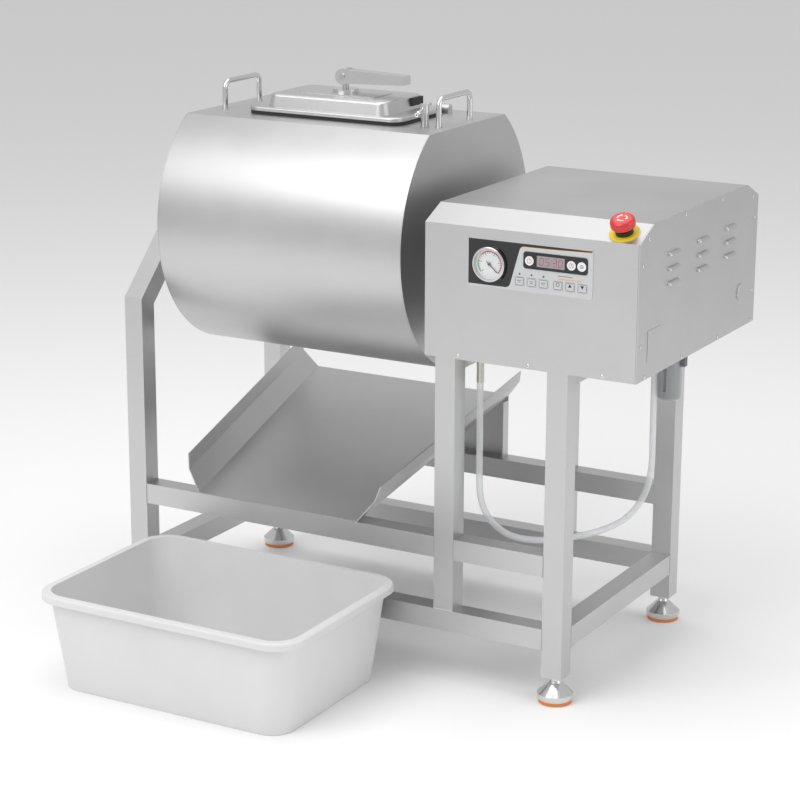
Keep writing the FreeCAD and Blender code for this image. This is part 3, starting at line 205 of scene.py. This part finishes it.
# %% Stainless steel
def steel(name, level, rough, grain=(1, 1, 1), scratch=0.05, cloud=0.06, warm=0.0):
    """Satin steel whose scratches run along the axis with the smallest grain number."""
    finish = Finish(name)
    scratches = finish.noise(finish.place(grain), 90.0, 4.0, 0.6)
    clouds = finish.noise(finish.place(), 5.5, 3.0, 0.55)
    tone = finish.ramp(scratches, 0.3, 0.7) * 0.35 + finish.ramp(clouds, 0.3, 0.7) * 0.65
    colour = finish.mix(tone, grey(level * (1 - cloud), warm), grey(level * (1 + cloud * 0.6), warm))
    finish.set(Base_Color=colour, Metallic=1.0)
    finish.set(Roughness=rough + (scratches - 0.5) * scratch + (clouds - 0.5) * 0.10)
    finish.bump(scratches, 0.00006, 0.35)
    return finish.material


GRAIN_X = (0.6, 24, 24)
GRAIN_Y = (24, 0.6, 24)
GRAIN_Z = (24, 24, 0.6)
finishes = {
    "drum_steel": steel("drum_steel", 0.60, 0.40, GRAIN_X),
    "end_steel": steel("end_steel", 0.55, 0.42, GRAIN_Y),
    "stand_steel": steel("stand_steel", 0.60, 0.38, (12, 12, 5)),
    "cabinet_steel": steel("cabinet_steel", 0.60, 0.42, GRAIN_X),
    "plate_steel": steel("plate_steel", 0.58, 0.44, GRAIN_Y),
    "chute_steel": steel("chute_steel", 0.58, 0.40, GRAIN_Y),
    "turned_steel": steel("turned_steel", 0.56, 0.30, (20, 20, 20)),
    "bright_steel": steel("bright_steel", 0.70, 0.20, (8, 8, 8), 0.02, 0.03),
    "weld_steel": steel("weld_steel", 0.50, 0.36, (30, 30, 30), 0.1, 0.12, 0.02),
}
print("steel finishes:", ", ".join(finishes))

# %% [markdown]
# ## Cast, painted, moulded and rubber finishes
# Sand casting leaves a pebbled skin, so the painted housings get coarse bump. Plastics and rubber differ
# mainly in how rough they are; a little noise keeps the highlight from looking like glass.

# %% Cast, painted, moulded and rubber finishes
def moulded(name, colour, rough, pebble=0.0001, scale=160.0, metal=0.0, coat=0.0, spread=0.06):
    """A plastic, rubber or painted finish with a fine skin."""
    finish = Finish(name)
    skin = finish.noise(finish.place(), scale, 2.0)
    dirt = finish.noise(finish.place(), 7.0, 4.0)
    dark = tuple(c * (1 - spread) for c in colour[:3]) + (1,)
    light = tuple(min(1, c * (1 + spread * 0.5)) for c in colour[:3]) + (1,)
    finish.set(Base_Color=finish.mix(finish.ramp(dirt, 0.3, 0.7), dark, light))
    finish.set(Metallic=metal, Roughness=rough + (dirt - 0.5) * 0.12, Coat_Weight=coat)
    finish.bump(skin, pebble, 0.5)
    return finish.material


finishes.update({
    "black_plastic": moulded("black_plastic", (0.018, 0.018, 0.02), 0.38),
    "black_rubber": moulded("black_rubber", (0.015, 0.015, 0.016), 0.6, 0.0002),
    "orange_rubber": moulded("orange_rubber", (0.68, 0.22, 0.05), 0.55, 0.0002),
    "white_plastic": moulded("white_plastic", (0.80, 0.80, 0.80), 0.35, 0.00003),
    "tub_plastic": moulded("tub_plastic", (0.70, 0.70, 0.70), 0.42, 0.00012, 90.0, spread=0.03),
    "red_plastic": moulded("red_plastic", (0.62, 0.02, 0.02), 0.28, 0.00003, coat=0.3),
    "yellow_plastic": moulded("yellow_plastic", (0.78, 0.62, 0.03), 0.4, 0.00003),
    "film_silver": moulded("film_silver", (0.55, 0.56, 0.57), 0.36, 0.00002, 400.0, spread=0.02),
    "film_black": moulded("film_black", (0.022, 0.02, 0.022), 0.3, 0.00002, 400.0),
    "film_orange": moulded("film_orange", (0.85, 0.36, 0.05), 0.4, 0.00002),
    "film_grey": moulded("film_grey", (0.30, 0.31, 0.32), 0.3, 0.00002),
    "film_line": moulded("film_line", (0.10, 0.10, 0.11), 0.4, 0.00002),
    "display_red": moulded("display_red", (0.55, 0.03, 0.06), 0.35, 0.00002),
    "dial_white": moulded("dial_white", (0.78, 0.79, 0.79), 0.5, 0.00002),
    "dial_red": moulded("dial_red", (0.38, 0.02, 0.05), 0.5, 0.00002),
    "dial_yellow": moulded("dial_yellow", (0.62, 0.50, 0.10), 0.5, 0.00002),
    "dial_green": moulded("dial_green", (0.07, 0.38, 0.09), 0.5, 0.00002),
    "cast_grey": moulded("cast_grey", (0.16, 0.17, 0.18), 0.5, 0.0008, 220.0, 0.3),
    "pump_paint": moulded("pump_paint", (0.10, 0.12, 0.14), 0.35, 0.0002, coat=0.4),
    "pulley_iron": moulded("pulley_iron", (0.20, 0.20, 0.21), 0.38, 0.0003, 300.0, 0.8),
    "belt_rubber": moulded("belt_rubber", (0.02, 0.02, 0.02), 0.7, 0.0003),
    "nickel": moulded("nickel", (0.55, 0.53, 0.49), 0.26, 0.00003, metal=1.0),
    "pipe_metal": moulded("pipe_metal", (0.60, 0.60, 0.62), 0.3, 0.00005, metal=1.0),
    "gauge_bezel": moulded("gauge_bezel", (0.66, 0.66, 0.67), 0.22, 0.00002, metal=1.0),
})
print("finishes now:", len(finishes))

# %% [markdown]
# ## Clear finishes
# A thin clear wall looks denser where it is seen edge on. A facing term drives the opacity, so a hose
# shows its two walls as brighter lines without any refraction.

# %% Clear finishes
def clear(name, colour, rough, middle, edge):
    """A clear wall, thin in the middle and denser at its outline."""
    finish = Finish(name)
    facing = finish.node("ShaderNodeLayerWeight", inputs={"Blend": 0.45}, output="Facing")
    haze = finish.noise(finish.place(), 30.0, 2.0)
    finish.set(Base_Color=(*colour, 1), Roughness=rough + (haze - 0.5) * 0.08)
    finish.set(Alpha=middle + facing.raised(1.6) * (edge - middle))
    finish.set(IOR=1.45)
    return finish.material


finishes["hose_clear"] = clear("hose_clear", (0.80, 0.82, 0.83), 0.16, 0.50, 0.98)
finishes["bowl_clear"] = clear("bowl_clear", (0.45, 0.47, 0.48), 0.12, 0.55, 0.95)
finishes["lens_clear"] = clear("lens_clear", (0.9, 0.92, 0.93), 0.05, 0.06, 0.4)
print("clear finishes added")

# %% [markdown]
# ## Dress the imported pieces
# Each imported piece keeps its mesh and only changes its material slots.

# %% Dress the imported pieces
dress = {
    "stand_steel": ["left_frame", "cabinet_posts", "stand_rails", "bearing_stand"],
    "drum_steel": ["drum_shell", "hatch_collar", "hatch_lid", "hinge_brackets"],
    "end_steel": ["drum_end_plates", "drum_baffles"],
    "cabinet_steel": ["cabinet_shell", "cabinet_base"],
    "plate_steel": ["cabinet_end_plate", "end_plate_plug", "blank_plate"],
    "chute_steel": ["discharge_chute"],
    "turned_steel": ["drum_shafts", "vent_valve_post", "hinge_pin", "clamp_stud", "clamp_pin",
                     "vacuum_union"],
    "bright_steel": ["foot_discs", "grab_handles", "vent_valve_head", "clamp_disc", "clamp_lever"],
    "orange_rubber": ["foot_pads"],
    "black_rubber": ["lid_seal", "lid_stop"],
    "black_plastic": ["display_module", "estop_collar", "gauge_needle"],
    "film_silver": ["control_overlay"] + ["key_%d" % number for number in range(1, 7)],
    "white_plastic": ["power_button", "timer_button", "mode_button"],
    "red_plastic": ["estop_head"],
    "yellow_plastic": ["estop_ring"],
    "tub_plastic": ["discharge_tub"],
    "cast_grey": ["shaft_bearings", "filter_head"],
    "pump_paint": ["gear_motor", "vacuum_pump"],
    "pulley_iron": ["drum_pulley", "motor_pulley"],
    "belt_rubber": ["drive_belt"],
    "nickel": ["hose_fitting"],
    "pipe_metal": ["vacuum_pipes"],
    "gauge_bezel": ["gauge_case"],
    "lens_clear": ["gauge_lens"],
    "bowl_clear": ["filter_bowl"],
    "hose_clear": ["vacuum_hose"],
}
for finish_name, names in dress.items():
    for name in names:
        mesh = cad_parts[name].data
        mesh.materials.clear()
        mesh.materials.append(finishes[finish_name])
bare = set(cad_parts) - {n for names in dress.values() for n in names} - {"panel_screws"}
print("dressed", sum(map(len, dress.values())), "pieces; left bare:", sorted(bare))

# %% [markdown]
# ## The clear hose
# The hose hangs between the fitting under the cabinet and the filter. It is a free cord, so it is one
# smooth NURBS line through the same route points as its solid, with a round bevel.

# %% The clear hose
hose_route = [
    (706.0, 60.0, 540.0), (705.8, 59.8, 490.0), (706.4, 60.5, 435.0), (706.0, 60.0, 375.0),
    (708.0, 62.0, 322.0), (722.0, 78.0, 281.0), (748.0, 107.0, 250.0), (786.0, 148.0, 238.0),
    (827.0, 192.0, 239.0), (864.0, 232.0, 245.0), (898.0, 268.0, 263.0), (921.0, 292.0, 303.0),
    (929.0, 300.5, 352.0), (928.6, 300.0, 406.0), (928.2, 300.2, 462.0), (928.0, 300.0, 512.0),
    (928.0, 300.0, 550.0),
]
HOSE_RADIUS = 5.75
hose_curve = bpy.data.curves.new("clear_hose", "CURVE")
hose_curve.dimensions = "3D"
spline = hose_curve.splines.new("NURBS")
spline.points.add(len(hose_route) - 1)
for point, (x, y, z) in zip(spline.points, hose_route):
    point.co = (*at(x, y, z), 1)
spline.order_u = 3
spline.use_endpoint_u = True
spline.resolution_u = 12
hose_curve.bevel_depth = HOSE_RADIUS * MM
hose_curve.bevel_resolution = 6
hose_curve.use_fill_caps = True
hose_curve.materials.append(finishes["hose_clear"])
hose = bpy.data.objects.new("clear_hose", hose_curve)
scene.collection.objects.link(hose)
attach(hose, "machine")
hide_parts("vacuum_hose")
at(*hose_route[0])
print("hose with", len(hose_route), "route points")

# %% [markdown]
# ## Mesh helpers
# Most added pieces are thin prints, beads and shells. These helpers turn a bmesh or a list of outlines
# into an object that rides on a body.

# %% Mesh helpers
def piece(name, shape, finish_name, body, smooth=False):
    """Make an object from a bmesh, dress it and let it ride."""
    mesh = bpy.data.meshes.new(name)
    bmesh.ops.recalc_face_normals(shape, faces=shape.faces)
    shape.to_mesh(mesh)
    shape.free()
    for face in mesh.polygons:
        face.use_smooth = smooth
    mesh.materials.append(finishes[finish_name])
    made = bpy.data.objects.new(name, mesh)
    scene.collection.objects.link(made)
    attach(made, body)
    return made


def skin(shape, loops, closed=True, cap=False):
    """Join equal loops of points into a band of faces."""
    rings = [[shape.verts.new(p) for p in loop] for loop in loops]
    for low, high in zip(rings, rings[1:]):
        count = len(low)
        for i in range(count if closed else count - 1):
            j = (i + 1) % count
            shape.faces.new((low[i], low[j], high[j], high[i]))
    if cap:
        shape.faces.new(rings[0][::-1])
        shape.faces.new(rings[-1])
    return rings


def slab(shape, outline, depth):
    """A thin solid: an outline pushed along a vector."""
    front = [Vector(p) for p in outline]
    skin(shape, [front, [p + depth for p in front]], cap=True)


def arc(cx, cz, radius, start, end, steps):
    """Points of an arc in the front plane; degrees clockwise from straight up."""
    turns = [math.radians(start + (end - start) * i / steps) for i in range(steps + 1)]
    return [(cx + radius * math.sin(t), cz + radius * math.cos(t)) for t in turns]


print("mesh helpers ready")

# %% [markdown]
# ## Panel print
# The film's print is a few flat inks. Each is a slab a tenth of a millimetre thick on the film, so it
# keeps a crisp edge from close by and needs no image.

# %% Panel print
FILM = -2.8
INK = 0.12


def print_on(name, outlines, finish_name, body="machine", front=FILM):
    """Ink slabs on a plane that faces the front."""
    shape = bmesh.new()
    for outline in outlines:
        slab(shape, [at(x, front, z) for x, z in outline], Vector((0, -INK * MM, 0)))
    return piece(name, shape, finish_name, body)


def box_outline(x, z, width, height, radius=0.0):
    """A rectangle about its centre, with rounded corners."""
    hx, hz = width / 2, height / 2
    if not radius:
        return [(x - hx, z - hz), (x + hx, z - hz), (x + hx, z + hz), (x - hx, z + hz)]
    points = []
    for sx, sz, start in ((1, 1, 0), (1, -1, 90), (-1, -1, 180), (-1, 1, 270)):
        points += arc(x + sx * (hx - radius), z + sz * (hz - radius), radius, start, start + 90, 4)
    return points


def frame_outline(x, z, width, height, line, radius=1.2):
    """A drawn rectangle as four strips."""
    hx, hz = width / 2, height / 2
    return [box_outline(x, z + hz - line / 2, width - 2 * radius, line),
            box_outline(x, z - hz + line / 2, width - 2 * radius, line),
            box_outline(x - hx + line / 2, z, line, height - 2 * radius),
            box_outline(x + hx - line / 2, z, line, height - 2 * radius)]


slant_top = arc(816.5, 791.5, 8.6, 290, 360, 6)
black_area = [(713.4, 804.9), (713.4, 728.0), (783, 728.0)]
black_area += [(783 + 9 * math.sin(math.radians(t)), 737 - 9 * math.cos(math.radians(t)))
               for t in (20, 40, 60, 76)]
black_area += slant_top + [(868, 800.6), (939, 802.6), (941.6, 804.9)]
print_on("panel_black", [black_area], "film_black")
edge = slant_top + [(868, 800.6), (939, 802.6)]
orange_edge = edge + [(x + 0.3, z - 0.8) for x, z in reversed(edge)]
bar = box_outline(901, 752.6, 42, 1.5, 0.6)
crescent = arc(753.3, 764, 31.0, 28, 136, 20) + arc(751.6, 763.6, 34.4, 128, 36, 20)
print_on("panel_orange", [orange_edge, bar, crescent], "film_orange")
key_places = (809.0, 831.0, 853.0, 879.4, 901.6, 923.8)
marks = []
for x in key_places[:3]:
    marks.append(box_outline(x, 753.4, 3.2, 3.2, 0.9))
marks.append(box_outline(893, 757.5, 26, 0.9))
print_on("panel_marks", marks, "film_line")
print("panel print on the film")

# %% [markdown]
# ## Display and keys
# The display shows a running time. A digit is seven bars, and a table says which are lit. The marks on the
# keys and buttons ride with them when they are pressed.

# %% Display and keys
BEZEL = -4.0
BARS = {"0": "abcdef", "1": "bc", "2": "abged", "3": "abgcd", "4": "fgbc", "5": "afgcd", "6": "afgedc",
        "7": "abc", "8": "abcdefg", "9": "abcdfg"}


def digit(x, z, width, height, text):
    """Seven-segment bars that slant a little to the right."""
    line = width * 0.17
    lean = 0.10
    half = height / 2
    places = {
        "a": (0, half, width, line), "g": (0, 0, width, line), "d": (0, -half, width, line),
        "f": (-width / 2, half / 2, line, half), "b": (width / 2, half / 2, line, half),
        "e": (-width / 2, -half / 2, line, half), "c": (width / 2, -half / 2, line, half),
    }
    outlines = []
    for bar_name in BARS[text]:
        bx, bz, w, h = places[bar_name]
        w, h = (w - line * 0.9, h) if w > h else (w, h - line * 0.9)
        outlines.append([(x + px + lean * pz, z + pz) for px, pz in box_outline(bx, bz, w, h)])
    return outlines


print_on("display_window", [box_outline(866.2, 778.3, 50.5, 18.6, 1.0)], "film_grey", front=BEZEL)
shown = []
for x, text in zip((849.4, 860.0, 873.4, 884.0), "0530"):
    shown += digit(x, 778.3, 6.4, 12.2, text)
shown += [box_outline(866.9, 781.2, 1.3, 1.6), box_outline(866.4, 775.6, 1.3, 1.6)]
print_on("display_digits", shown, "display_red", front=BEZEL - INK)
print("display shows four digits")

# %% Marks on the keys and buttons
key_front = FILM - 0.6
for number, x in enumerate(key_places, 1):
    print_on("key_%d_frame" % number, frame_outline(x, 741, 15.6, 13.2, 0.7), "film_line",
             "key_%d" % number, key_front)
up_mark = [(901.6 - 3.4, 740.6), (901.6 + 3.4, 740.6), (901.6, 746.2)]
down_mark = [(923.8 - 3.4, 745.4), (923.8, 739.8), (923.8 + 3.4, 745.4)]
ring = arc(879.4, 743.0, 3.2, 0, 350, 18) + arc(879.4, 743.0, 2.4, 350, 0, 18)
for number, outline in ((4, ring), (5, up_mark), (6, down_mark)):
    print_on("key_%d_mark" % number, [outline], "film_black", "key_%d" % number, key_front)
for number in (1, 2, 3):
    x = key_places[number - 1]
    lines = [box_outline(x, 741 + 1.4, 8, 0.8), box_outline(x, 741 - 1.4, 5, 0.8)]
    print_on("key_%d_mark" % number, lines, "film_line", "key_%d" % number, key_front)
button_front = BEZEL - 0.8
power = [arc(827.3, 777.4, 4.0, 28, 332, 18) + arc(827.3, 777.4, 3.2, 332, 28, 18),
         box_outline(827.3, 780.2, 0.9, 4.4)]
print_on("power_mark", power, "display_red", "power_button", button_front)
clock = [arc(903.9, 777.6, 4.2, 0, 352, 18) + arc(903.9, 777.6, 3.5, 352, 0, 18),
         box_outline(903.9, 779.1, 0.8, 3.4), box_outline(905.1, 777.6, 2.6, 0.8)]
print_on("timer_mark", clock, "film_line", "timer_button", button_front)
mode = [box_outline(922.6, 777.6 + offset, 8 - abs(offset), 0.9) for offset in (-2.2, 0, 2.2)]
print_on("mode_mark", mode, "film_line", "mode_button", button_front)
print("keys and buttons marked")

# %% [markdown]
# ## Gauge dial
# The dial is a white disc with a green, yellow and red arc and small divisions. It lies behind the needle.

# %% Gauge dial
GX, GZ, DIAL = 753.3, 764.0, -3.0
print_on("dial_face", [arc(GX, GZ, 26.3, 0, 354, 60)], "dial_white", front=DIAL)
bands = (("dial_band_green", -132, -76, "dial_green"), ("dial_band_yellow", -76, -46, "dial_yellow"),
         ("dial_band_red", -46, 132, "dial_red"))
for name, start, end, finish_name in bands:
    outline = arc(GX, GZ, 22.5, start, end, 24) + arc(GX, GZ, 20.3, end, start, 24)
    print_on(name, [outline], finish_name, front=DIAL - INK)
ticks = []
for step in range(21):
    turned = math.radians(-132 + 264 * step / 20)
    long = step % 4 == 0
    inner, outer, half = (15.5 if long else 17.5), 20.0, (0.45 if long else 0.25)
    along = (math.sin(turned), math.cos(turned))
    across = (math.cos(turned), -math.sin(turned))
    ticks.append([(GX + along[0] * r + across[0] * s, GZ + along[1] * r + across[1] * s)
                  for r, s in ((inner, -half), (outer, -half), (outer, half), (inner, half))])
print_on("dial_ticks", ticks, "film_black", front=DIAL - INK)
print("dial with", len(ticks), "divisions")

# %% [markdown]
# ## Screws
# Eighteen pan head screws hold the cabinet. They are one shape repeated, so Geometry Nodes put a copy on
# every point and turn it to the point's own direction.

# %% One screw
def screw_shape():
    """A domed head with a cross recess, its axis along +Z and its seat at the origin."""
    shape = bmesh.new()
    radius, height, steps = 3.6, 1.8, 24
    levels = ((radius, 0.0), (radius, 0.7), (3.2, 1.3), (2.5, 1.65), (1.7, height))
    loops = [[Vector((r * math.cos(t) * MM, r * math.sin(t) * MM, z * MM))
              for t in (2 * math.pi * i / steps for i in range(steps))] for r, z in levels]
    rings = skin(shape, loops)
    cross = []
    for i in range(steps):
        t = 2 * math.pi * i / steps
        reach = 1.5 if i % 6 in (0, 1, 5) else 0.55
        cross.append(Vector((reach * math.cos(t) * MM, reach * math.sin(t) * MM, height * MM)))
    rim = [shape.verts.new(p) for p in cross]
    floor = [shape.verts.new(p - Vector((0, 0, 0.9 * MM))) for p in cross]
    for low, high in ((rings[-1], rim), (rim, floor)):
        for i in range(steps):
            j = (i + 1) % steps
            shape.faces.new((low[i], low[j], high[j], high[i]))
    shape.faces.new(floor)
    shape.faces.new(rings[0][::-1])
    mesh = bpy.data.meshes.new("screw")
    bmesh.ops.recalc_face_normals(shape, faces=shape.faces)
    shape.to_mesh(mesh)
    shape.free()
    mesh.materials.append(finishes["bright_steel"])
    return bpy.data.objects.new("screw", mesh)


screw = screw_shape()
print("one screw has", len(screw.data.polygons), "faces")

# %% Screws on the cabinet
CABINET_RIGHT, CABINET_FRONT, CABINET_BACK = 1024, -2, 521
SKIRT_ROW, TOP_ROW = 597.5, 843.5


def screw_places():
    """Each screw as a place and the direction its head faces."""
    places = []
    depth = CABINET_BACK - CABINET_FRONT
    for share in (0.06, 0.36, 0.67, 0.97):
        places.append(((CABINET_RIGHT, CABINET_FRONT + depth * share, SKIRT_ROW), (1, 0, 0)))
    for share in (0.36, 0.67):
        places.append(((CABINET_RIGHT, CABINET_FRONT + depth * share, TOP_ROW), (1, 0, 0)))
    for y, z in ((34, 828), (495, 825), (12, 653), (12, 787), (507, 653), (507, 787)):
        places.append(((CABINET_RIGHT, y, z), (1, 0, 0)))
    for x in (695.0, 827.5, 963.0):
        places.append(((x, CABINET_FRONT, SKIRT_ROW), (0, -1, 0)))
        places.append(((x, CABINET_BACK, SKIRT_ROW), (0, 1, 0)))
    return places


def scatter_tree(thing, material):
    """Put a copy of thing on every point, turned to the point's facing."""
    tree = bpy.data.node_groups.new("scatter", "GeometryNodeTree")
    tree.interface.new_socket("Geometry", in_out="INPUT", socket_type="NodeSocketGeometry")
    tree.interface.new_socket("Size", in_out="INPUT", socket_type="NodeSocketFloat")
    tree.interface.new_socket("Geometry", in_out="OUTPUT", socket_type="NodeSocketGeometry")
    add = tree.nodes.new
    start, end = add("NodeGroupInput"), add("NodeGroupOutput")
    facing = add("GeometryNodeInputNamedAttribute")
    facing.data_type = "FLOAT_VECTOR"
    facing.inputs["Name"].default_value = "facing"
    align = add("FunctionNodeAlignRotationToVector")
    align.axis = "Z"
    source = add("GeometryNodeObjectInfo")
    source.inputs["Object"].default_value = thing
    copies = add("GeometryNodeInstanceOnPoints")
    real = add("GeometryNodeRealizeInstances")
    paint = add("GeometryNodeSetMaterial")
    paint.inputs["Material"].default_value = material
    for out, into in (
            (start.outputs["Geometry"], copies.inputs["Points"]),
            (source.outputs["Geometry"], copies.inputs["Instance"]),
            (facing.outputs["Attribute"], align.inputs["Vector"]),
            (align.outputs["Rotation"], copies.inputs["Rotation"]),
            (start.outputs["Size"], copies.inputs["Scale"]),
            (copies.outputs["Instances"], real.inputs["Geometry"]),
            (real.outputs["Geometry"], paint.inputs["Geometry"]),
            (paint.outputs["Geometry"], end.inputs["Geometry"])):
        tree.links.new(out, into)
    return tree


def scatter(name, places, thing, finish_name, body, size=1.0):
    """Bake copies of thing at the places into one plain mesh."""
    seeds = bpy.data.meshes.new(name + "_seeds")
    seeds.from_pydata([at(*p) for p, _ in places], [], [])
    facing = seeds.attributes.new("facing", "FLOAT_VECTOR", "POINT")
    for item, (_, direction) in zip(facing.data, places):
        item.vector = direction
    seed = bpy.data.objects.new(name + "_seed", seeds)
    scene.collection.objects.link(seed)
    modifier = seed.modifiers.new("scatter", "NODES")
    modifier.node_group = scatter_tree(thing, finishes[finish_name])
    socket = next(s for s in modifier.node_group.interface.items_tree
                  if s.name == "Size" and s.in_out == "INPUT")
    modifier[socket.identifier] = size
    baked = bpy.data.meshes.new_from_object(seed.evaluated_get(bpy.context.evaluated_depsgraph_get()))
    bpy.data.objects.remove(seed)
    baked.name = name
    made = bpy.data.objects.new(name, baked)
    scene.collection.objects.link(made)
    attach(made, body)
    return made


cabinet_screws = scatter("cabinet_screws", screw_places(), screw, "bright_steel", "machine")
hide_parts("panel_screws")
print("screws baked into", len(cabinet_screws.data.polygons), "faces")

# %% [markdown]
# ## Weld beads
# A weld bead is a row of overlapping ripples. It is a tube along a line whose radius rises and falls,
# pressed against the corner where two pieces meet.

# %% Weld beads
def bead(shape, points, radius, closed=False, ripple=2.2, sides=6):
    """Add one rippled tube along a line of points in metres."""
    line = []
    ends = list(zip(points, points[1:] + points[:1])) if closed else list(zip(points, points[1:]))
    for start, end in ends:
        count = max(1, round((end - start).length / (ripple * MM / 2)))
        line += [start.lerp(end, i / count) for i in range(count)]
    if not closed:
        line.append(points[-1])
    loops = []
    total = len(line)
    for i, place in enumerate(line):
        before = line[i - 1] if i or closed else line[0]
        after = line[(i + 1) % total] if i + 1 < total or closed else line[-1]
        along = (after - before).normalized()
        side = along.cross(Vector((0.31, 0.52, 0.79))).normalized()
        other = along.cross(side)
        r = radius * MM * (1.0 if i % 2 else 0.84)
        loops.append([place + (side * math.cos(t) + other * math.sin(t)) * r
                      for t in (2 * math.pi * k / sides for k in range(sides))])
    if closed:
        rings = skin(shape, loops)
        for k in range(sides):
            m = (k + 1) % sides
            shape.faces.new((rings[-1][k], rings[-1][m], rings[0][m], rings[0][k]))
    else:
        skin(shape, loops, cap=True)


def square_ring(x, y, z, size, normal):
    """The corner points of a square around a place, across X, Y or Z."""
    h = size / 2
    offsets = ((-h, -h), (h, -h), (h, h), (-h, h))
    if normal == "x":
        return [at(x, y + a, z + b) for a, b in offsets]
    if normal == "y":
        return [at(x + a, y, z + b) for a, b in offsets]
    return [at(x + a, y + b, z) for a, b in offsets]


TUBE = 38.0
MID = TUBE / 2
stand_beads = bmesh.new()
for y in (MID, 508 - MID):
    for x, z in ((38, 248), (650, 248), (688, 248), (862, 248), (38, 115), (862, 115)):
        bead(stand_beads, square_ring(x, y, z, TUBE, "x"), 1.0, True)
    bead(stand_beads, square_ring(650 + MID, y, 134, TUBE, "z"), 1.0, True)
for x in (MID, 900 - MID):
    for y in (38, 470):
        bead(stand_beads, square_ring(x, y, 115, TUBE, "y"), 1.0, True)
for x in (650 + MID, 900 - MID):
    for y in (38, 470):
        bead(stand_beads, square_ring(x, y, 587, TUBE, "y"), 1.0, True)
piece("stand_welds", stand_beads, "weld_steel", "machine", True)
print("stand welded")

# %% Drum welds
AXIS_Y, AXIS_Z = 254, 752
BEAD_LEVEL = 950.4


def round_ring(x, y, z, radius, normal="z", steps=24):
    """Points of a circle across X or Z."""
    turns = [2 * math.pi * i / steps for i in range(steps)]
    if normal == "x":
        return [at(x, y + radius * math.cos(t), z + radius * math.sin(t)) for t in turns]
    return [at(x + radius * math.cos(t), y + radius * math.sin(t), z) for t in turns]


drum_beads = bmesh.new()
for x in (98, 547):
    for y in (AXIS_Y - 58, AXIS_Y + 58):
        bead(drum_beads, round_ring(x, y, BEAD_LEVEL, 5.4), 1.0, True)
bead(drum_beads, round_ring(522, 190, BEAD_LEVEL, 7.4), 1.0, True)
for x in (70.0, 575.0):
    bead(drum_beads, round_ring(x, AXIS_Y, AXIS_Z, 60.4, "x", 40), 1.0, True)
piece("drum_welds", drum_beads, "weld_steel", "drum", True)
print("drum welded")

# %% [markdown]
# ## Emergency stop marks
# The red head carries a ring of arrows that shows which way to twist it free.

# %% Emergency stop marks
estop_seat = at(985.0, -2 + 27 * 0.90747, 824 + 27 * 0.42012)
estop_out = Vector((0, -0.42012, 0.90747))
estop_across = Vector((1, 0, 0))
estop_up = estop_out.cross(estop_across)


def estop_mark(outline, height):
    """An outline in the head's own plane, as points in metres."""
    return [estop_seat + (estop_across * u + estop_up * v + estop_out * height) * MM for u, v in outline]


shape = bmesh.new()
HEAD_TOP = 30.3
for start in (20, 140, 260):
    band = arc(0, 0, 9.0, start, start + 70, 8) + arc(0, 0, 7.0, start + 70, start, 8)
    slab(shape, estop_mark(band, HEAD_TOP), estop_out * 0.12 * MM)
    tip = math.radians(start + 88)
    base = math.radians(start + 68)
    head = [(8 * math.sin(tip), 8 * math.cos(tip)), (11 * math.sin(base), 11 * math.cos(base)),
            (5 * math.sin(base), 5 * math.cos(base))]
    slab(shape, estop_mark(head, HEAD_TOP), estop_out * 0.12 * MM)
piece("estop_arrows", shape, "white_plastic", "emergency_stop")
print("emergency stop marked")

# %% [markdown]
# ## Studio
# The world is plain white to the camera and through clear walls, and dimmer to everything else, while the
# lamps decide how bright the steel is. The floor is a plain near-white plane and keeps the soft shadow.

# %% Studio
def studio_floor():
    shape = bmesh.new()
    size = 12
    for x, y in ((-size, -size), (size, -size), (size, size), (-size, size)):
        shape.verts.new((x, y, -0.0005))
    shape.faces.new(shape.verts)
    mesh = bpy.data.meshes.new("floor")
    shape.to_mesh(mesh)
    shape.free()
    made = bpy.data.objects.new("floor", mesh)
    scene.collection.objects.link(made)
    return made


floor = studio_floor()
floor_finish = Finish("floor_white")
floor_finish.set(Base_Color=(0.93, 0.93, 0.93, 1), Roughness=0.9)
floor.data.materials.append(floor_finish.material)

world = bpy.data.worlds.new("studio")
scene.world = world
world.use_nodes = True
tree = world.node_tree
tree.nodes.clear()
path = tree.nodes.new("ShaderNodeLightPath")
seen = tree.nodes.new("ShaderNodeMath")
seen.operation = "MAXIMUM"
tree.links.new(path.outputs["Is Camera Ray"], seen.inputs[0])
tree.links.new(path.outputs["Is Transmission Ray"], seen.inputs[1])
dim, white = tree.nodes.new("ShaderNodeBackground"), tree.nodes.new("ShaderNodeBackground")
dim.inputs["Color"].default_value = (1, 1, 1, 1)
dim.inputs["Strength"].default_value = 0.62
white.inputs["Color"].default_value = (1, 1, 1, 1)
white.inputs["Strength"].default_value = 1.0
blend = tree.nodes.new("ShaderNodeMixShader")
tree.links.new(seen.outputs[0], blend.inputs[0])
tree.links.new(dim.outputs[0], blend.inputs[1])
tree.links.new(white.outputs[0], blend.inputs[2])
tree.links.new(blend.outputs[0], tree.nodes.new("ShaderNodeOutputWorld").inputs[0])


def lamp(name, place, target, size, power):
    """A square soft lamp that faces a target, both in millimetres."""
    data = bpy.data.lights.new(name, "AREA")
    data.size = size
    data.energy = power
    made = bpy.data.objects.new(name, data)
    made.location = at(*place)
    made.rotation_euler = (at(*target) - at(*place)).to_track_quat("-Z", "Y").to_euler()
    scene.collection.objects.link(made)
    return made


MIDDLE = (510, 100, 500)
lamp("key", (-300, -2600, 3300), MIDDLE, 2.6, 70)
lamp("side", (3600, 300, 1500), MIDDLE, 2.2, 18)
lamp("top", (510, 300, 3600), MIDDLE, 3.0, 40)
scene.view_settings.view_transform = "Standard"
print("studio lit")
